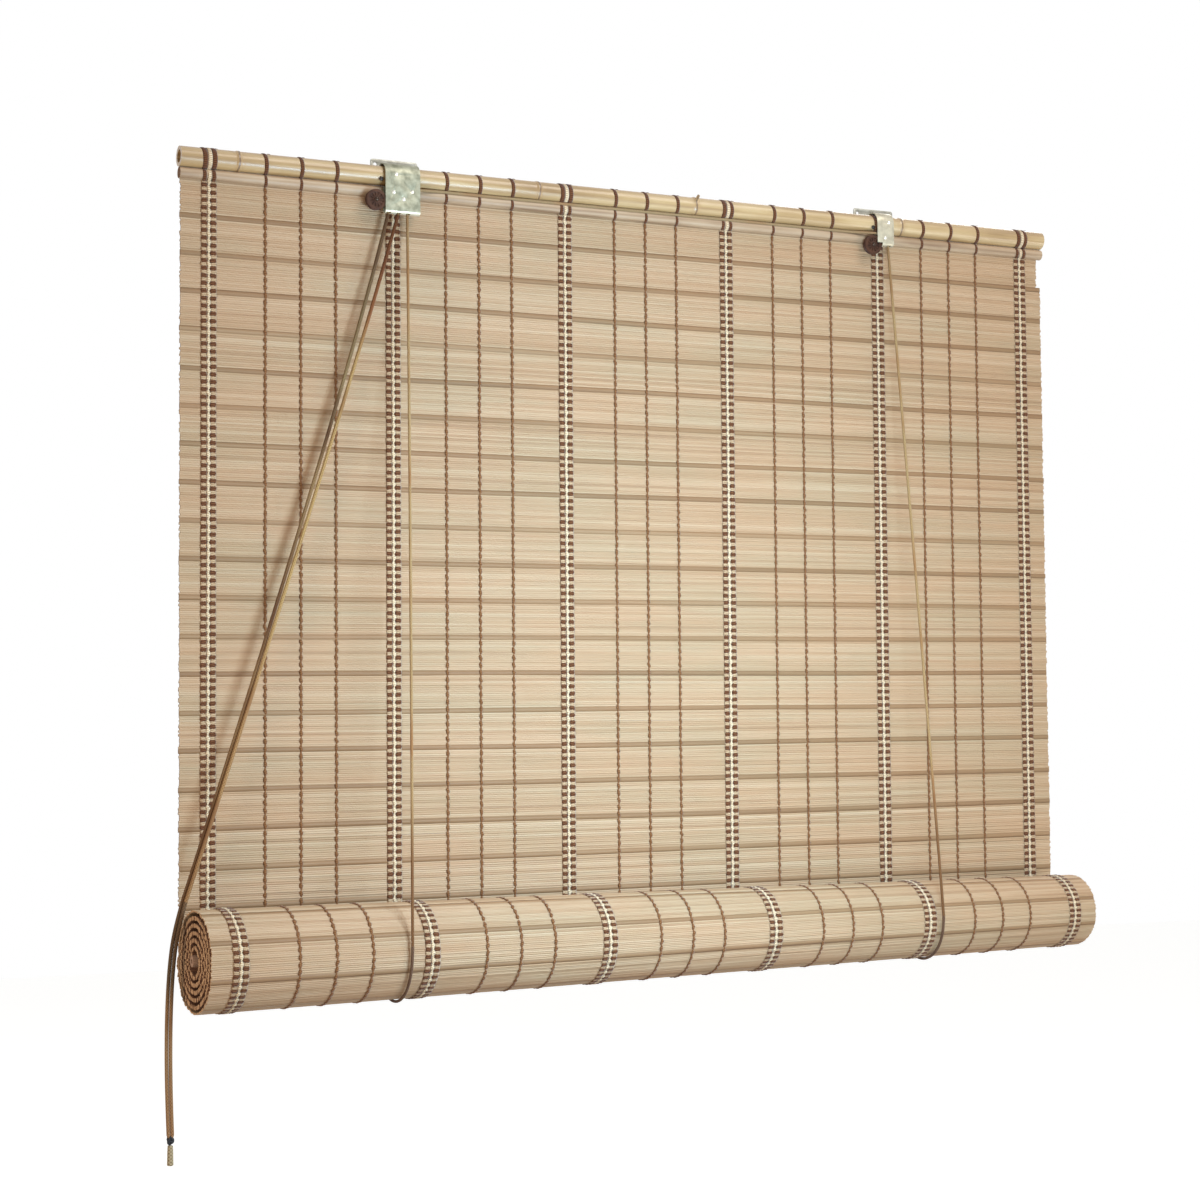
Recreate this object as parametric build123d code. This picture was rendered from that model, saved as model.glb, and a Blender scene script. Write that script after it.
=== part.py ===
from build123d import *
from math import acos, atan2, cos, dist, pi, radians, sin, sqrt, tan
import os

os.makedirs("parts", exist_ok=True)

# A bamboo roll up blind, half rolled, in millimetres.
# X runs along the width, +Y points to the wall, -Y to the room, and +Z is up.
# The origin is the middle of the head pole, on its axis.

# Warp layout across the width
band_count = 6
band_pitch = 226.4
edge_margin = 34.0
column_spacing = 11.0
column_width = 6.5
thread_width = 3.0
thread_thickness = 0.8
single_first = 68.0
single_step = 43.3
singles_per_gap = 3

# Head pole, a bamboo cane, and the stick under it
pole_diameter = 24.0
pole_bore = 15.0
pole_overhang = 1.0
culm_ridge_height = 0.7
culm_ridge_width = 7.0
culm_wall = 3.0
branch_stub_length = 8.0
branch_stub_diameter = 7.0
branch_stub_lean = 55.0
batten_diameter = 13.0
contact_gap = 0.3

# Reed mat, hanging and rolled
mat_back = 1.5
slat_half_thickness = 1.5
reed_half_thickness = 1.3
valley_half_thickness = 0.7
reed_pitch = 6.84
reeds_between_slats = 5
slat_height = 5.0
slat_bevel = 0.8
roll_top_drop = 855.5
roll_radius = 61.0
roll_right_radius = 48.2
roll_turns = 6
roll_outer_growth = 6.0
rolled_thickness = 5.5
ridge_depth = 0.8
ridges_per_turn = 54
points_per_turn = 24
bottom_rod_diameter = 13.0
bottom_rod_bore = 5.0
strip_start_angle = 5.0
strip_end_angle = 325.0
strip_clearance = 0.2

# Sheet metal brackets that carry the pulleys
sheet = 1.2
bracket_front_room = 2.4
saddle_rise = 0.3
back_leg_length = 9.0
leg_gap_to_batten = 1.0
lock_bracket_width = 44.0
lock_bracket_offset = 7.6
lock_bracket_depth = 43.0
guide_bracket_width = 25.0
guide_bracket_offset = 4.9
guide_bracket_depth = 26.0
cord_slot_width = 5.0
ear_radius = 6.0
ear_root_radius = 4.5
hanger_width = 60.0
hanger_height = 34.0
hanger_sheet = 1.5
hanger_top = 24.0
hanger_corner = 3.0
hanger_hole_diameter = 4.5
hanger_hole_spacing = 48.0
hanger_hole_drop = 6.5

# Pulleys and their axles
cord_diameter = 3.5
cord_end_gap = 0.6
axle_diameter = 3.0
axle_head_diameter = 5.4
axle_head_height = 1.6
axle_fit = 0.05
side_gap = 0.3
sheave_flange_radius = 7.0
sheave_cord_radius = 6.0
groove_clearance = 0.15
sheave_a_offset = -11.6
sheave_a_drop = 22.0
sheave_b_offset = 1.0
sheave_b_drop = 29.5
guide_sheave_offset = -0.5
wheel_diameter = 25.0
wheel_groove_depth = 2.6
wheel_groove_width = 2.6
wheel_hub_radius = 4.2
wheel_rim_radius = 9.0
wheel_pocket_depth = 1.3
wheel_ribs = 12
wheel_rib_width = 1.4
lock_wheel_offset = -33.0
lock_wheel_drop = 32.0
guide_wheel_offset = -18.3
guide_wheel_drop = 29.5

# Nails and tacks
nail_diameter = 2.0
nail_head_diameter = 5.0
nail_head_height = 1.4
nail_grip = 5.0
nail_fit = 0.1
stop_nail_head_diameter = 5.6
tack_diameter = 1.6
tack_head_diameter = 6.0
tack_head_height = 1.0
tack_offset = 7.0

# Lift cords at the roll, and the free end of the pull cords
left_cradle_offset = -22.1
right_cradle_offset = 21.4
cradle_gap = 0.4
knot_place = (-616.9, -31.0, -1115.5)
knot_length = 11.0
knot_diameter = 9.5
tip_length = 23.0
tip_top_diameter = 4.6
tip_bottom_diameter = 6.4

# Worked out from the dimensions above
mat_width = (band_count - 1) * band_pitch + 2 * edge_margin
half_width = mat_width / 2
pole_end = half_width + pole_overhang
pole_radius = pole_diameter / 2
batten_radius = batten_diameter / 2
cord_radius = cord_diameter / 2
wrap_inner = pole_radius + contact_gap / 3
wrap_outer = wrap_inner + thread_thickness
batten_z = -(wrap_outer + contact_gap + batten_radius)
mat_top = batten_z - batten_radius - contact_gap
mat_middle = mat_back - slat_half_thickness
mat_front = mat_middle - slat_half_thickness
band_places = [(number - (band_count - 1) / 2) * band_pitch for number in range(band_count)]
single_groups = [
    [band + single_first + number * single_step for number in range(singles_per_gap)]
    for band in band_places[:-1]
]
single_places = [place for group in single_groups for place in group]
lock_x = band_places[1] + lock_bracket_offset
guide_x = band_places[-2] + guide_bracket_offset
stub_x = single_groups[len(single_groups) // 2][-1] + edge_margin * 0.75


def write(name, shape):
    """Write one node: a solid, or a group of separate solids."""
    export_step(shape, "parts/" + name + ".step")


def write_group(name, solids):
    """Write several separate solids as one node."""
    write(name, Compound(children=[solid for shape in solids for solid in shape.solids()]))


def yz_plane(x):
    """The plane across the width at x: its own X is +Y and its own Y is +Z."""
    return Plane(origin=(x, 0, 0), x_dir=(0, 1, 0), z_dir=(1, 0, 0))


def outline_solid(points, x_from, x_to):
    """Carry an outline of (y, z) points straight along the width."""
    face = yz_plane(x_from) * Polygon(*points, align=None)
    return extrude(face, amount=x_to - x_from)


def y_bar(x, z, radius, y_front, y_back):
    """A round bar along Y between two depths."""
    bar = Cylinder(radius, y_back - y_front, align=(Align.CENTER, Align.CENTER, Align.MIN))
    return Pos(x, y_front, z) * Rot(-90, 0, 0) * bar


def block(x_range, y_range, z_range):
    """A block given by its low and high side along each axis."""
    low = (Align.MIN, Align.MIN, Align.MIN)
    size = (x_range[1] - x_range[0], y_range[1] - y_range[0], z_range[1] - z_range[0])
    return Pos(x_range[0], y_range[0], z_range[0]) * Box(*size, align=low)


def dome(x, z, y_face, diameter, height):
    """A domed head that stands on the plane y = y_face and points to the room."""
    sphere_radius = (diameter**2 / 4 + height**2) / (2 * height)
    ball = Pos(x, y_face - height + sphere_radius, z) * Sphere(sphere_radius)
    return ball & y_bar(x, z, diameter, y_face - height - 1, y_face)


# Head pole

culm_places = [
    band_places[0] + single_first / 2,
    single_groups[1][-1] + edge_margin,
    stub_x,
    band_places[-2] + single_first / 2,
]


def build_pole():
    """A hollow cane: ridges outside and closed walls inside where it has its rings."""
    section = [(-pole_end, 0), (-pole_end, pole_radius)]
    for place in culm_places:
        section.append((place - culm_ridge_width / 2, pole_radius))
        section.append((place - culm_ridge_width / 6, pole_radius + culm_ridge_height))
        section.append((place + culm_ridge_width / 6, pole_radius + culm_ridge_height))
        section.append((place + culm_ridge_width / 2, pole_radius))
    section += [(pole_end, pole_radius), (pole_end, 0)]
    cane = revolve(Plane.XZ * Polygon(*section, align=None), Axis.X)
    walls = [-pole_end - culm_wall] + culm_places + [pole_end + culm_wall]
    for left, right in zip(walls, walls[1:]):
        length = right - left - culm_wall
        hollow = Rot(0, 90, 0) * Cylinder(pole_bore / 2, length)
        cane -= Pos((left + right) / 2, 0, 0) * hollow
    return cane + build_branch_stub()


def build_branch_stub():
    """The cut branch that was left on one ring, leaning forward and up."""
    outside = pole_radius + branch_stub_length
    stub = Cone(
        branch_stub_diameter / 2,
        branch_stub_diameter / 4,
        outside,
        align=(Align.CENTER, Align.CENTER, Align.MIN),
    )
    hollow = Rot(0, 90, 0) * Cylinder(pole_radius - 1, 2 * branch_stub_diameter)
    return Pos(stub_x, 0, 0) * (Rot(branch_stub_lean, 0, 0) * stub - hollow)


def ring_on_pole(x, width):
    """One turn of a warp thread round the pole."""
    ring = Cylinder(wrap_outer, width) - Cylinder(wrap_inner, width)
    return Pos(x, 0, 0) * Rot(0, 90, 0) * ring


# Where the roll is: every width has the same coil, drawn smaller towards the right end,
# about the line where the mat's back face passes the height of the coil's top.

coil_top = -roll_top_drop
right_scale = roll_right_radius / roll_radius
coil_start_radius = (bottom_rod_diameter / 2 + contact_gap) / right_scale + rolled_thickness


def coil_scale(x):
    """How large the coil is at x: 1 at the left end, right_scale at the right end."""
    return 1 - (1 - right_scale) * (x + half_width) / mat_width


def coil_centre(x):
    """The (y, z) place of the roll's axis at x."""
    return (mat_back - coil_scale(x) * roll_radius, coil_top - coil_scale(x) * roll_radius)


def seam_z(x):
    """The height where the hanging mat meets the roll at x."""
    return coil_centre(x)[1]


def coil_radius(turns):
    """Outer radius of the coil after so many turns, at the left end."""
    inner_turns = roll_turns - 1
    inner_end = roll_radius - roll_outer_growth
    if turns > inner_turns:
        return inner_end + roll_outer_growth * (turns - inner_turns)
    return coil_start_radius + (inner_end - coil_start_radius) * turns / inner_turns


def coil_point(turns, radius):
    """A (y, z) point at the left end, after so many turns, seen from the coil's centre."""
    angle = -2 * pi * (roll_turns - turns)
    centre_y, centre_z = coil_centre(-half_width)
    return (centre_y + radius * cos(angle), centre_z + radius * sin(angle))


def at_width(point, x):
    """Move a left end (y, z) point to where the coil has it at x."""
    scale = coil_scale(x)
    return (mat_back + scale * (point[0] - mat_back), coil_top + scale * (point[1] - coil_top))


# Reed mat

mat_low = min(seam_z(-half_width), seam_z(half_width))
slat_unit = slat_height + reeds_between_slats * reed_pitch
unit_count = int((mat_top - mat_low) / slat_unit) + 1


def mat_thickness_points():
    """The hanging mat from top to bottom: (height, half thickness) at each change."""
    points = []
    for unit in range(unit_count):
        top = mat_top - unit * slat_unit
        points.append((top, valley_half_thickness))
        points.append((top - slat_bevel, slat_half_thickness))
        points.append((top - slat_height + slat_bevel, slat_half_thickness))
        for reed in range(reeds_between_slats):
            reed_top = top - slat_height - reed * reed_pitch
            points.append((reed_top, valley_half_thickness))
            points.append((reed_top - reed_pitch / 2, reed_half_thickness))
    points.append((mat_top - unit_count * slat_unit, valley_half_thickness))
    return points


def build_hanging_mat():
    """Wide slats, and bundles of reeds between them, as ridges across the whole width."""
    places = mat_thickness_points()
    front = [(mat_middle - half, height) for height, half in places]
    back = [(mat_middle + half, height) for height, half in reversed(places)]
    mat = outline_solid(front + back, -half_width, half_width)
    below = mat_low - 2 * slat_unit
    outside = half_width + 1
    waste = Polygon(
        (-outside, seam_z(-outside) + contact_gap),
        (outside, seam_z(outside) + contact_gap),
        (outside, below),
        (-outside, below),
        align=None,
    )
    return mat - extrude(Plane.XZ * waste, amount=mat_back + roll_radius, both=True)


def coil_outline():
    """The coil's section at the left end: ridged outside on the last turn, plain elsewhere."""
    outer = []
    inner = []
    inner_steps = (roll_turns - 1) * points_per_turn
    for step in range(inner_steps):
        turns = step / points_per_turn
        outer.append(coil_point(turns, coil_radius(turns)))
    for step in range(2 * ridges_per_turn + 1):
        turns = roll_turns - 1 + step / (2 * ridges_per_turn)
        depth = ridge_depth if step % 2 else 0
        outer.append(coil_point(turns, coil_radius(turns) - depth))
    for step in range(roll_turns * points_per_turn + 1):
        turns = step / points_per_turn
        inner.append(coil_point(turns, coil_radius(turns) - rolled_thickness))
    return outer + inner[::-1]


def build_rolled_mat():
    """The wound part of the mat: one strip with all its turns, slimmer at the right end."""
    ends = []
    for x in (-half_width, half_width):
        points = [at_width(point, x) for point in coil_outline()]
        ends.append(yz_plane(x) * Polygon(*points, align=None))
    return loft([end.faces()[0] for end in ends], ruled=True)


def rolled_strip(x, width):
    """A warp thread on the outside of the roll's last turn, at x."""
    step_angle = 360 / points_per_turn
    steps = round((strip_end_angle - strip_start_angle) / step_angle)
    lift = 1 / cos(radians(step_angle / 2))
    inner = []
    outer = []
    for step in range(steps + 1):
        turns = roll_turns - (strip_start_angle + step * step_angle) / 360
        radius = (coil_radius(turns) + strip_clearance) * lift
        inner.append(at_width(coil_point(turns, radius), x))
        outer.append(at_width(coil_point(turns, radius + thread_thickness), x))
    return outline_solid(inner + outer[::-1], x - width / 2, x + width / 2)


def hanging_strip(x, width):
    """A warp thread down the front of the hanging mat, at x."""
    front = mat_front - strip_clearance - thread_thickness
    bottom = seam_z(x) + 4 * slat_half_thickness + 2 * roll_outer_growth
    return block(
        (x - width / 2, x + width / 2),
        (front, front + thread_thickness),
        (bottom, mat_top),
    )


def band_columns(x):
    """The two stitched columns of a double band."""
    return [x - column_spacing / 2, x + column_spacing / 2]


def build_bottom_rod():
    """The hollow stick that the mat is wound on, along the roll's axis."""
    ends = [(x, *coil_centre(x)) for x in (-pole_end, pole_end)]
    direction = Vector(*ends[1]) - Vector(*ends[0])
    plane = Plane(origin=ends[0], z_dir=direction)
    base = (Align.CENTER, Align.CENTER, Align.MIN)
    rod = Cylinder(bottom_rod_diameter / 2, direction.length, align=base)
    return plane * (rod - Cylinder(bottom_rod_bore / 2, direction.length, align=base))


# Brackets: a strip of sheet goes over the pole, down in front of it,
# and is folded up again behind the pulleys.

front_plate_back = -(wrap_outer + bracket_front_room)
front_plate_face = front_plate_back - sheet
inner_leg_back = -(batten_radius + leg_gap_to_batten)
inner_leg_front = inner_leg_back - sheet
pulley_y = (front_plate_back + inner_leg_front) / 2
pulley_thickness = inner_leg_front - front_plate_back - 2 * side_gap
fold_radius = (inner_leg_front - front_plate_back + sheet) / 2
inner_leg_top = -(wrap_outer + leg_gap_to_batten)
saddle_back = wrap_outer + contact_gap + sheet

# The crossing cord lies in the valley between the pole and the stick.
valley_to_pole = wrap_outer + cord_radius + contact_gap / 2
valley_to_batten = batten_radius + cord_radius + contact_gap
valley_z = (valley_to_batten**2 - valley_to_pole**2 - batten_z**2) / (-2 * batten_z)
valley_y = -sqrt(valley_to_pole**2 - valley_z**2)

sheave_a = (lock_x + sheave_a_offset, -sheave_a_drop)
sheave_b = (lock_x + sheave_b_offset, -sheave_b_drop)
guide_sheave = (guide_x + guide_sheave_offset, valley_z - sheave_cord_radius)
lock_wheel = (lock_x + lock_wheel_offset, -lock_wheel_drop)
guide_wheel = (guide_x + guide_wheel_offset, -guide_wheel_drop)
pull_a_x = sheave_a[0] - sheave_cord_radius
pull_b_x = sheave_b[0] - sheave_cord_radius
left_lift_x = sheave_b[0] + sheave_cord_radius
right_lift_x = guide_sheave[0] + sheave_cord_radius

nail_places = [
    (lock_x - 8.0, 0.0, pole_radius),
    (lock_x + 12.0, batten_z, batten_radius),
    (guide_x + 5.0, 1.0, pole_radius),
]
stop_nail_z = -pole_radius / 2
stop_nail_places = [
    lock_x - lock_bracket_width / 2 - stop_nail_head_diameter / 2 - 1,
    guide_x - guide_bracket_width / 2 - stop_nail_head_diameter / 2 - 1,
]
tack_places = [
    lock_x - hanger_width / 2 - tack_offset,
    guide_x + hanger_width / 2 + tack_offset,
]


def bracket_strip(width, depth):
    """The bent strip of a bracket, centred on x = 0."""
    front = front_plate_back - sheet / 2
    back = saddle_back - sheet / 2
    leg = inner_leg_front + sheet / 2
    middle = (front + back) / 2
    saddle_radius = (back - front) / 2
    line = Curve() + [
        Line((back, -back_leg_length), (back, saddle_rise)),
        ThreePointArc((back, saddle_rise), (middle, saddle_rise + saddle_radius), (front, saddle_rise)),
        Line((front, saddle_rise), (front, -depth)),
        ThreePointArc((front, -depth), (pulley_y, -depth - fold_radius), (leg, -depth)),
        Line((leg, -depth), (leg, inner_leg_top)),
    ]
    return extrude(yz_plane(-width / 2) * trace(line, sheet), amount=width)


def ear(axle, root):
    """A rounded tongue of the inner leg that reaches out to a wheel's axle."""
    tongue = make_hull(
        (
            Pos(*axle) * Circle(ear_radius)
            + Pos(*root) * Circle(ear_root_radius)
        ).edges()
    )
    return extrude(Plane((0, inner_leg_back, 0), x_dir=(1, 0, 0), z_dir=(0, -1, 0)) * tongue, amount=sheet)


def axle_hole(place):
    return y_bar(*place, axle_diameter / 2 + nail_fit, front_plate_face - 1, inner_leg_back + 1)


def cord_slot(x, depth):
    """The slot that lets a cord out through the fold at the bottom."""
    return block(
        (x - cord_slot_width / 2, x + cord_slot_width / 2),
        (front_plate_back, inner_leg_front),
        (-depth - 2 * fold_radius, -depth),
    )


def nail_hole(place):
    radius = nail_diameter / 2 + nail_fit
    return y_bar(place[0], place[1], radius, front_plate_face - 1, -place[2] + nail_grip + nail_fit)


def build_lock_bracket():
    """The wide bracket: two sheaves between its plates and the lock wheel at its left."""
    strip = Pos(lock_x, 0, 0) * bracket_strip(lock_bracket_width, lock_bracket_depth)
    root = (lock_x - lock_bracket_width / 2 + ear_root_radius, lock_wheel[1])
    strip += ear(lock_wheel, root)
    for place in (sheave_a, sheave_b, lock_wheel):
        strip -= axle_hole(place)
    for x in (pull_a_x, pull_b_x, left_lift_x):
        strip -= cord_slot(x, lock_bracket_depth)
    for place in nail_places[:2]:
        strip -= nail_hole(place)
    return strip


def build_guide_bracket():
    """The narrow bracket: one sheave behind its plate and the guide wheel at its left."""
    strip = Pos(guide_x, 0, 0) * bracket_strip(guide_bracket_width, guide_bracket_depth)
    left = guide_x - guide_bracket_width / 2
    wheel_edge = guide_wheel[0] + wheel_diameter / 2 + 1
    strip -= block(
        (left - 1, wheel_edge),
        (front_plate_face - 1, inner_leg_back + 1),
        (-guide_bracket_depth - 2 * fold_radius, -guide_bracket_depth),
    )
    root_z = (inner_leg_top - guide_bracket_depth) / 2
    strip += ear(guide_wheel, (left + ear_root_radius, root_z))
    for place in (guide_sheave, guide_wheel):
        strip -= axle_hole(place)
    strip -= cord_slot(right_lift_x, guide_bracket_depth)
    return strip - nail_hole(nail_places[2])


def build_hanger(x):
    """The wall plate behind a bracket, with its two screw holes above the pole."""
    middle_z = hanger_top - hanger_height / 2
    plate = Plane((x, saddle_back, middle_z), x_dir=(1, 0, 0), z_dir=(0, -1, 0))
    shape = RectangleRounded(hanger_width, hanger_height, hanger_corner)
    for side in (-1, 1):
        hole_z = hanger_height / 2 - hanger_hole_drop
        shape -= Pos(side * hanger_hole_spacing / 2, hole_z) * Circle(hanger_hole_diameter / 2)
    return extrude(plate * shape, amount=-hanger_sheet)


def build_sheave(place):
    """A grooved sheave, turned on its axle."""
    half = pulley_thickness / 2
    bore = axle_diameter / 2 + axle_fit
    groove_radius = sheave_cord_radius - cord_radius - groove_clearance
    groove_half = cord_radius + groove_clearance
    flange = sheave_flange_radius
    section = Polygon(
        (bore, -half),
        (flange, -half),
        (flange, -groove_half),
        (groove_radius, -groove_half),
        (groove_radius, groove_half),
        (flange, groove_half),
        (flange, half),
        (bore, half),
        align=None,
    )
    return Pos(place[0], pulley_y, place[1]) * revolve(section, Axis.Y)


def build_wheel(place):
    """A ribbed wheel with a grooved rim: a hub, a web with ribs on both sides, and a rim."""
    half = pulley_thickness / 2
    bore = axle_diameter / 2 + axle_fit
    outside = wheel_diameter / 2
    web = half - wheel_pocket_depth
    groove_half = wheel_groove_width / 2
    groove_floor = outside - wheel_groove_depth
    section = Polygon(
        (bore, -half),
        (wheel_hub_radius, -half),
        (wheel_hub_radius, -web),
        (wheel_rim_radius, -web),
        (wheel_rim_radius, -half),
        (outside, -half),
        (outside, -groove_half - 0.5),
        (groove_floor, -groove_half / 2),
        (groove_floor, groove_half / 2),
        (outside, groove_half + 0.5),
        (outside, half),
        (wheel_rim_radius, half),
        (wheel_rim_radius, web),
        (wheel_hub_radius, web),
        (wheel_hub_radius, half),
        (bore, half),
        align=None,
    )
    wheel = revolve(section, Axis.Y)
    length = wheel_rim_radius - wheel_hub_radius + 1
    rib = Pos(wheel_hub_radius + length / 2 - 0.5, 0, 0) * Box(length, 2 * half - 0.4, wheel_rib_width)
    for number in range(wheel_ribs):
        wheel += Rot(0, number * 360 / wheel_ribs, 0) * rib
    return Pos(place[0], pulley_y, place[1]) * wheel


def build_axle(place):
    """A pin with a domed head in front and its tail flush behind the inner leg."""
    tail = inner_leg_back + leg_gap_to_batten / 3
    pin = y_bar(*place, axle_diameter / 2, front_plate_face, tail)
    return pin + dome(*place, front_plate_face, axle_head_diameter, axle_head_height)


def build_nail(place):
    """A domed nail through the front plate into the wood behind it."""
    pin = y_bar(place[0], place[1], nail_diameter / 2, front_plate_face, -place[2] + nail_grip)
    return pin + dome(place[0], place[1], front_plate_face, nail_head_diameter, nail_head_height)


def stop_nail_face():
    """How far forward the pole's surface is at the stop nails' height."""
    return -sqrt(pole_radius**2 - (abs(stop_nail_z) - stop_nail_head_diameter / 2) ** 2)


def build_stop_nail(x):
    """A dark nail in the pole beside a bracket, so that it can't slide along."""
    face = stop_nail_face() - contact_gap
    pin = y_bar(x, stop_nail_z, nail_diameter / 2, face, face + nail_grip)
    return pin + dome(x, stop_nail_z, face, stop_nail_head_diameter, nail_head_height)


tack_z = cord_radius
tack_head_y = pole_radius + cord_diameter + 2 * contact_gap


def build_tack(x):
    """A tack that holds the end of a lift cord on the back of the pole."""
    pin = y_bar(x, tack_z, tack_diameter / 2, pole_radius - nail_grip / 2, tack_head_y)
    head = y_bar(x, tack_z, tack_head_diameter / 2, tack_head_y, tack_head_y + tack_head_height)
    return pin + head


def drill_pole(pole):
    """The pole with the holes that its nails and tacks sit in."""
    for place in nail_places[::2]:
        pole -= nail_hole(place)
    for x in stop_nail_places:
        face = stop_nail_face() - contact_gap
        radius = nail_diameter / 2 + nail_fit
        pole -= y_bar(x, stop_nail_z, radius, face - 1, face + nail_grip + nail_fit)
    for x in tack_places:
        radius = tack_diameter / 2 + nail_fit
        pole -= y_bar(x, tack_z, radius, pole_radius - nail_grip, pole_radius + 1)
    return pole


# Cords

lock_exit_z = -lock_bracket_depth - fold_radius - sheet
guide_exit_z = -guide_bracket_depth - fold_radius - sheet
left_cradle_x = band_places[1] + left_cradle_offset
right_cradle_x = band_places[-2] + right_cradle_offset


def tube(path):
    """A round cord along a path of straight runs and arcs; its volume is compared and printed."""
    wire = Wire(path.edges()) if not isinstance(path, Wire) else path
    start = wire @ 0
    section = Plane(origin=start, z_dir=wire % 0) * Circle(cord_radius)
    cord = sweep(section, path=wire)
    share = cord.volume / (pi * cord_radius**2 * wire.length)
    print(f"  length {wire.length:.1f} mm, volume against section times length {share:.4f}")
    return cord


def past_end(start, towards):
    """The place a cord's own end gap past its start, so that two slanting ends stay apart."""
    run = Vector(*towards) - Vector(*start)
    return tuple(Vector(*start) + run.normalized() * cord_end_gap)


def corner_radii(points):
    """Each corner's radius: 0.45 of the shorter run, divided by the tangent of half the turn."""
    radii = []
    for before, corner, after in zip(points, points[1:], points[2:]):
        run_in = Vector(*corner) - Vector(*before)
        run_out = Vector(*after) - Vector(*corner)
        half_turn = radians(run_in.get_angle(run_out)) / 2
        radii.append(0.45 * min(run_in.length, run_out.length) / tan(half_turn))
    return radii


def laid_cord(name, points):
    """A cord that lies free along chosen points, with every corner rounded as far as it goes."""
    points = [past_end(points[0], points[1])] + points[1:]
    radii = corner_radii(points)
    print(name, "radii", [round(radius) for radius in radii])
    write(name, tube(FilletPolyline(*points, radius=radii)))


def straight_cord(name, start, end):
    """A taut cord that starts just past the end of the cord it continues."""
    print(name)
    write(name, tube(Line(past_end(start, end), end)))


def tangent_angle(point, centre, radius, side):
    """Where a taut line from a (y, z) point touches a circle, as an angle from +Y."""
    away = atan2(point[1] - centre[1], point[0] - centre[0])
    return away + side * acos(radius / dist(point, centre))


def circle_point(centre, radius, angle):
    return (centre[0] + radius * cos(angle), centre[1] + radius * sin(angle))


def lift_cord(side, front_x, front_z, cradle_x, tack_x):
    """One lift cord: down the front, under the roll, and up behind the mat to its tack."""
    centre = coil_centre(cradle_x)
    radius = coil_scale(cradle_x) * roll_radius + cradle_gap + cord_radius
    top_front = (pulley_y, front_z)
    top_back = (pole_radius + cord_radius + contact_gap, 0)
    front_angle = tangent_angle(top_front, centre, radius, 1)
    back_angle = tangent_angle(top_back, centre, radius, -1)
    front = circle_point(centre, radius, front_angle)
    back = circle_point(centre, radius, back_angle)
    low = circle_point(centre, radius, (front_angle + back_angle) / 2 + pi)
    straight_cord(f"{side}_lift_cord_front", (front_x, *top_front), (cradle_x, *front))
    straight_cord(f"{side}_lift_cord_back", (cradle_x, *back), (tack_x, *top_back))
    print(side, "cradle radius", round(radius, 1))
    ease = cord_end_gap / radius
    start = circle_point(centre, radius, front_angle + ease)
    end = circle_point(centre, radius, back_angle)
    loop = ThreePointArc((cradle_x, *start), (cradle_x, *low), (cradle_x, *end))
    write(f"{side}_lift_cord_loop", tube(loop))


def build_lock_cord():
    """The left lift cord inside the lock: up, over sheave b, and down again."""
    top = sheave_b[1] + sheave_cord_radius
    print("left_cord_in_lock")
    return tube(
        Curve()
        + [
            Line((left_lift_x, pulley_y, lock_exit_z), (left_lift_x, pulley_y, sheave_b[1])),
            ThreePointArc(
                (left_lift_x, pulley_y, sheave_b[1]),
                (sheave_b[0], pulley_y, top),
                (pull_b_x, pulley_y, sheave_b[1]),
            ),
            Line((pull_b_x, pulley_y, sheave_b[1]), (pull_b_x, pulley_y, lock_exit_z)),
        ]
    )


def build_crossing_cord():
    """The right lift cord over its sheave, along the pole, and down over sheave a."""
    level = sheave_a[1] + sheave_cord_radius
    inside_guide = guide_x - guide_bracket_width / 2 - cord_diameter
    inside_lock = lock_x + lock_bracket_width / 2 - cord_diameter
    ease = 30.0
    points = [
        (right_lift_x, pulley_y, guide_exit_z),
        (right_lift_x, pulley_y, valley_z),
        (inside_guide, pulley_y, valley_z),
        (inside_guide - ease, valley_y, valley_z),
        (inside_lock + ease, valley_y, valley_z),
        (inside_lock, pulley_y, level),
        (pull_a_x, pulley_y, level),
        (pull_a_x, pulley_y, lock_exit_z),
    ]
    radii = corner_radii(points)
    radii[0] = sheave_cord_radius
    radii[-1] = sheave_cord_radius
    radii[1] = min(radii[1], ease)
    radii[-2] = min(radii[-2], ease)
    print("crossing_cord radii", [round(radius) for radius in radii])
    return tube(FilletPolyline(*points, radius=radii))


# Points of the two pull cords: tight from the lock to the left end of the roll,
# over the roll's end and then straight down to the knot.
pull_a_upper = [(pull_a_x, pulley_y, lock_exit_z), (-412, -17, -290), (-603, -28, -853)]
pull_b_upper = [(pull_b_x, pulley_y, lock_exit_z), (-407.5, -18, -290), (-600.5, -32.5, -853)]
pull_a_tail = [
    (-603, -28, -853),
    (-611, -29, -879),
    (-617, -29.5, -912),
    (-620.6, -30, -962),
    (-621.5, -30.2, -1020),
    (-620.4, -30.3, -1075),
    (-619, -30.6, -1109.7),
]
pull_b_tail = [
    (-600.5, -32.5, -853),
    (-607.6, -32.6, -879),
    (-613.2, -32, -912),
    (-616.6, -31.9, -962),
    (-617.4, -32.1, -1020),
    (-616.4, -32, -1075),
    (-614.8, -31.5, -1109.7),
]


def build_knot():
    """The overhand knot that joins the two pull cords."""
    half = Ellipse(knot_diameter / 2, knot_length / 2) & Pos(knot_diameter / 2, 0) * Rectangle(
        knot_diameter, 2 * knot_length
    )
    return Pos(*knot_place) * revolve(Plane.XZ * half, Axis.Z)


def build_tip():
    """The bound ends of the cords below the knot, a little wider at the bottom."""
    top = knot_place[2] - knot_length / 2 - contact_gap / 3
    tip = Cone(
        tip_bottom_diameter / 2,
        tip_top_diameter / 2,
        tip_length,
        align=(Align.CENTER, Align.CENTER, Align.MAX),
    )
    return Pos(knot_place[0], knot_place[1], top) * tip


# Write every node

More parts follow.
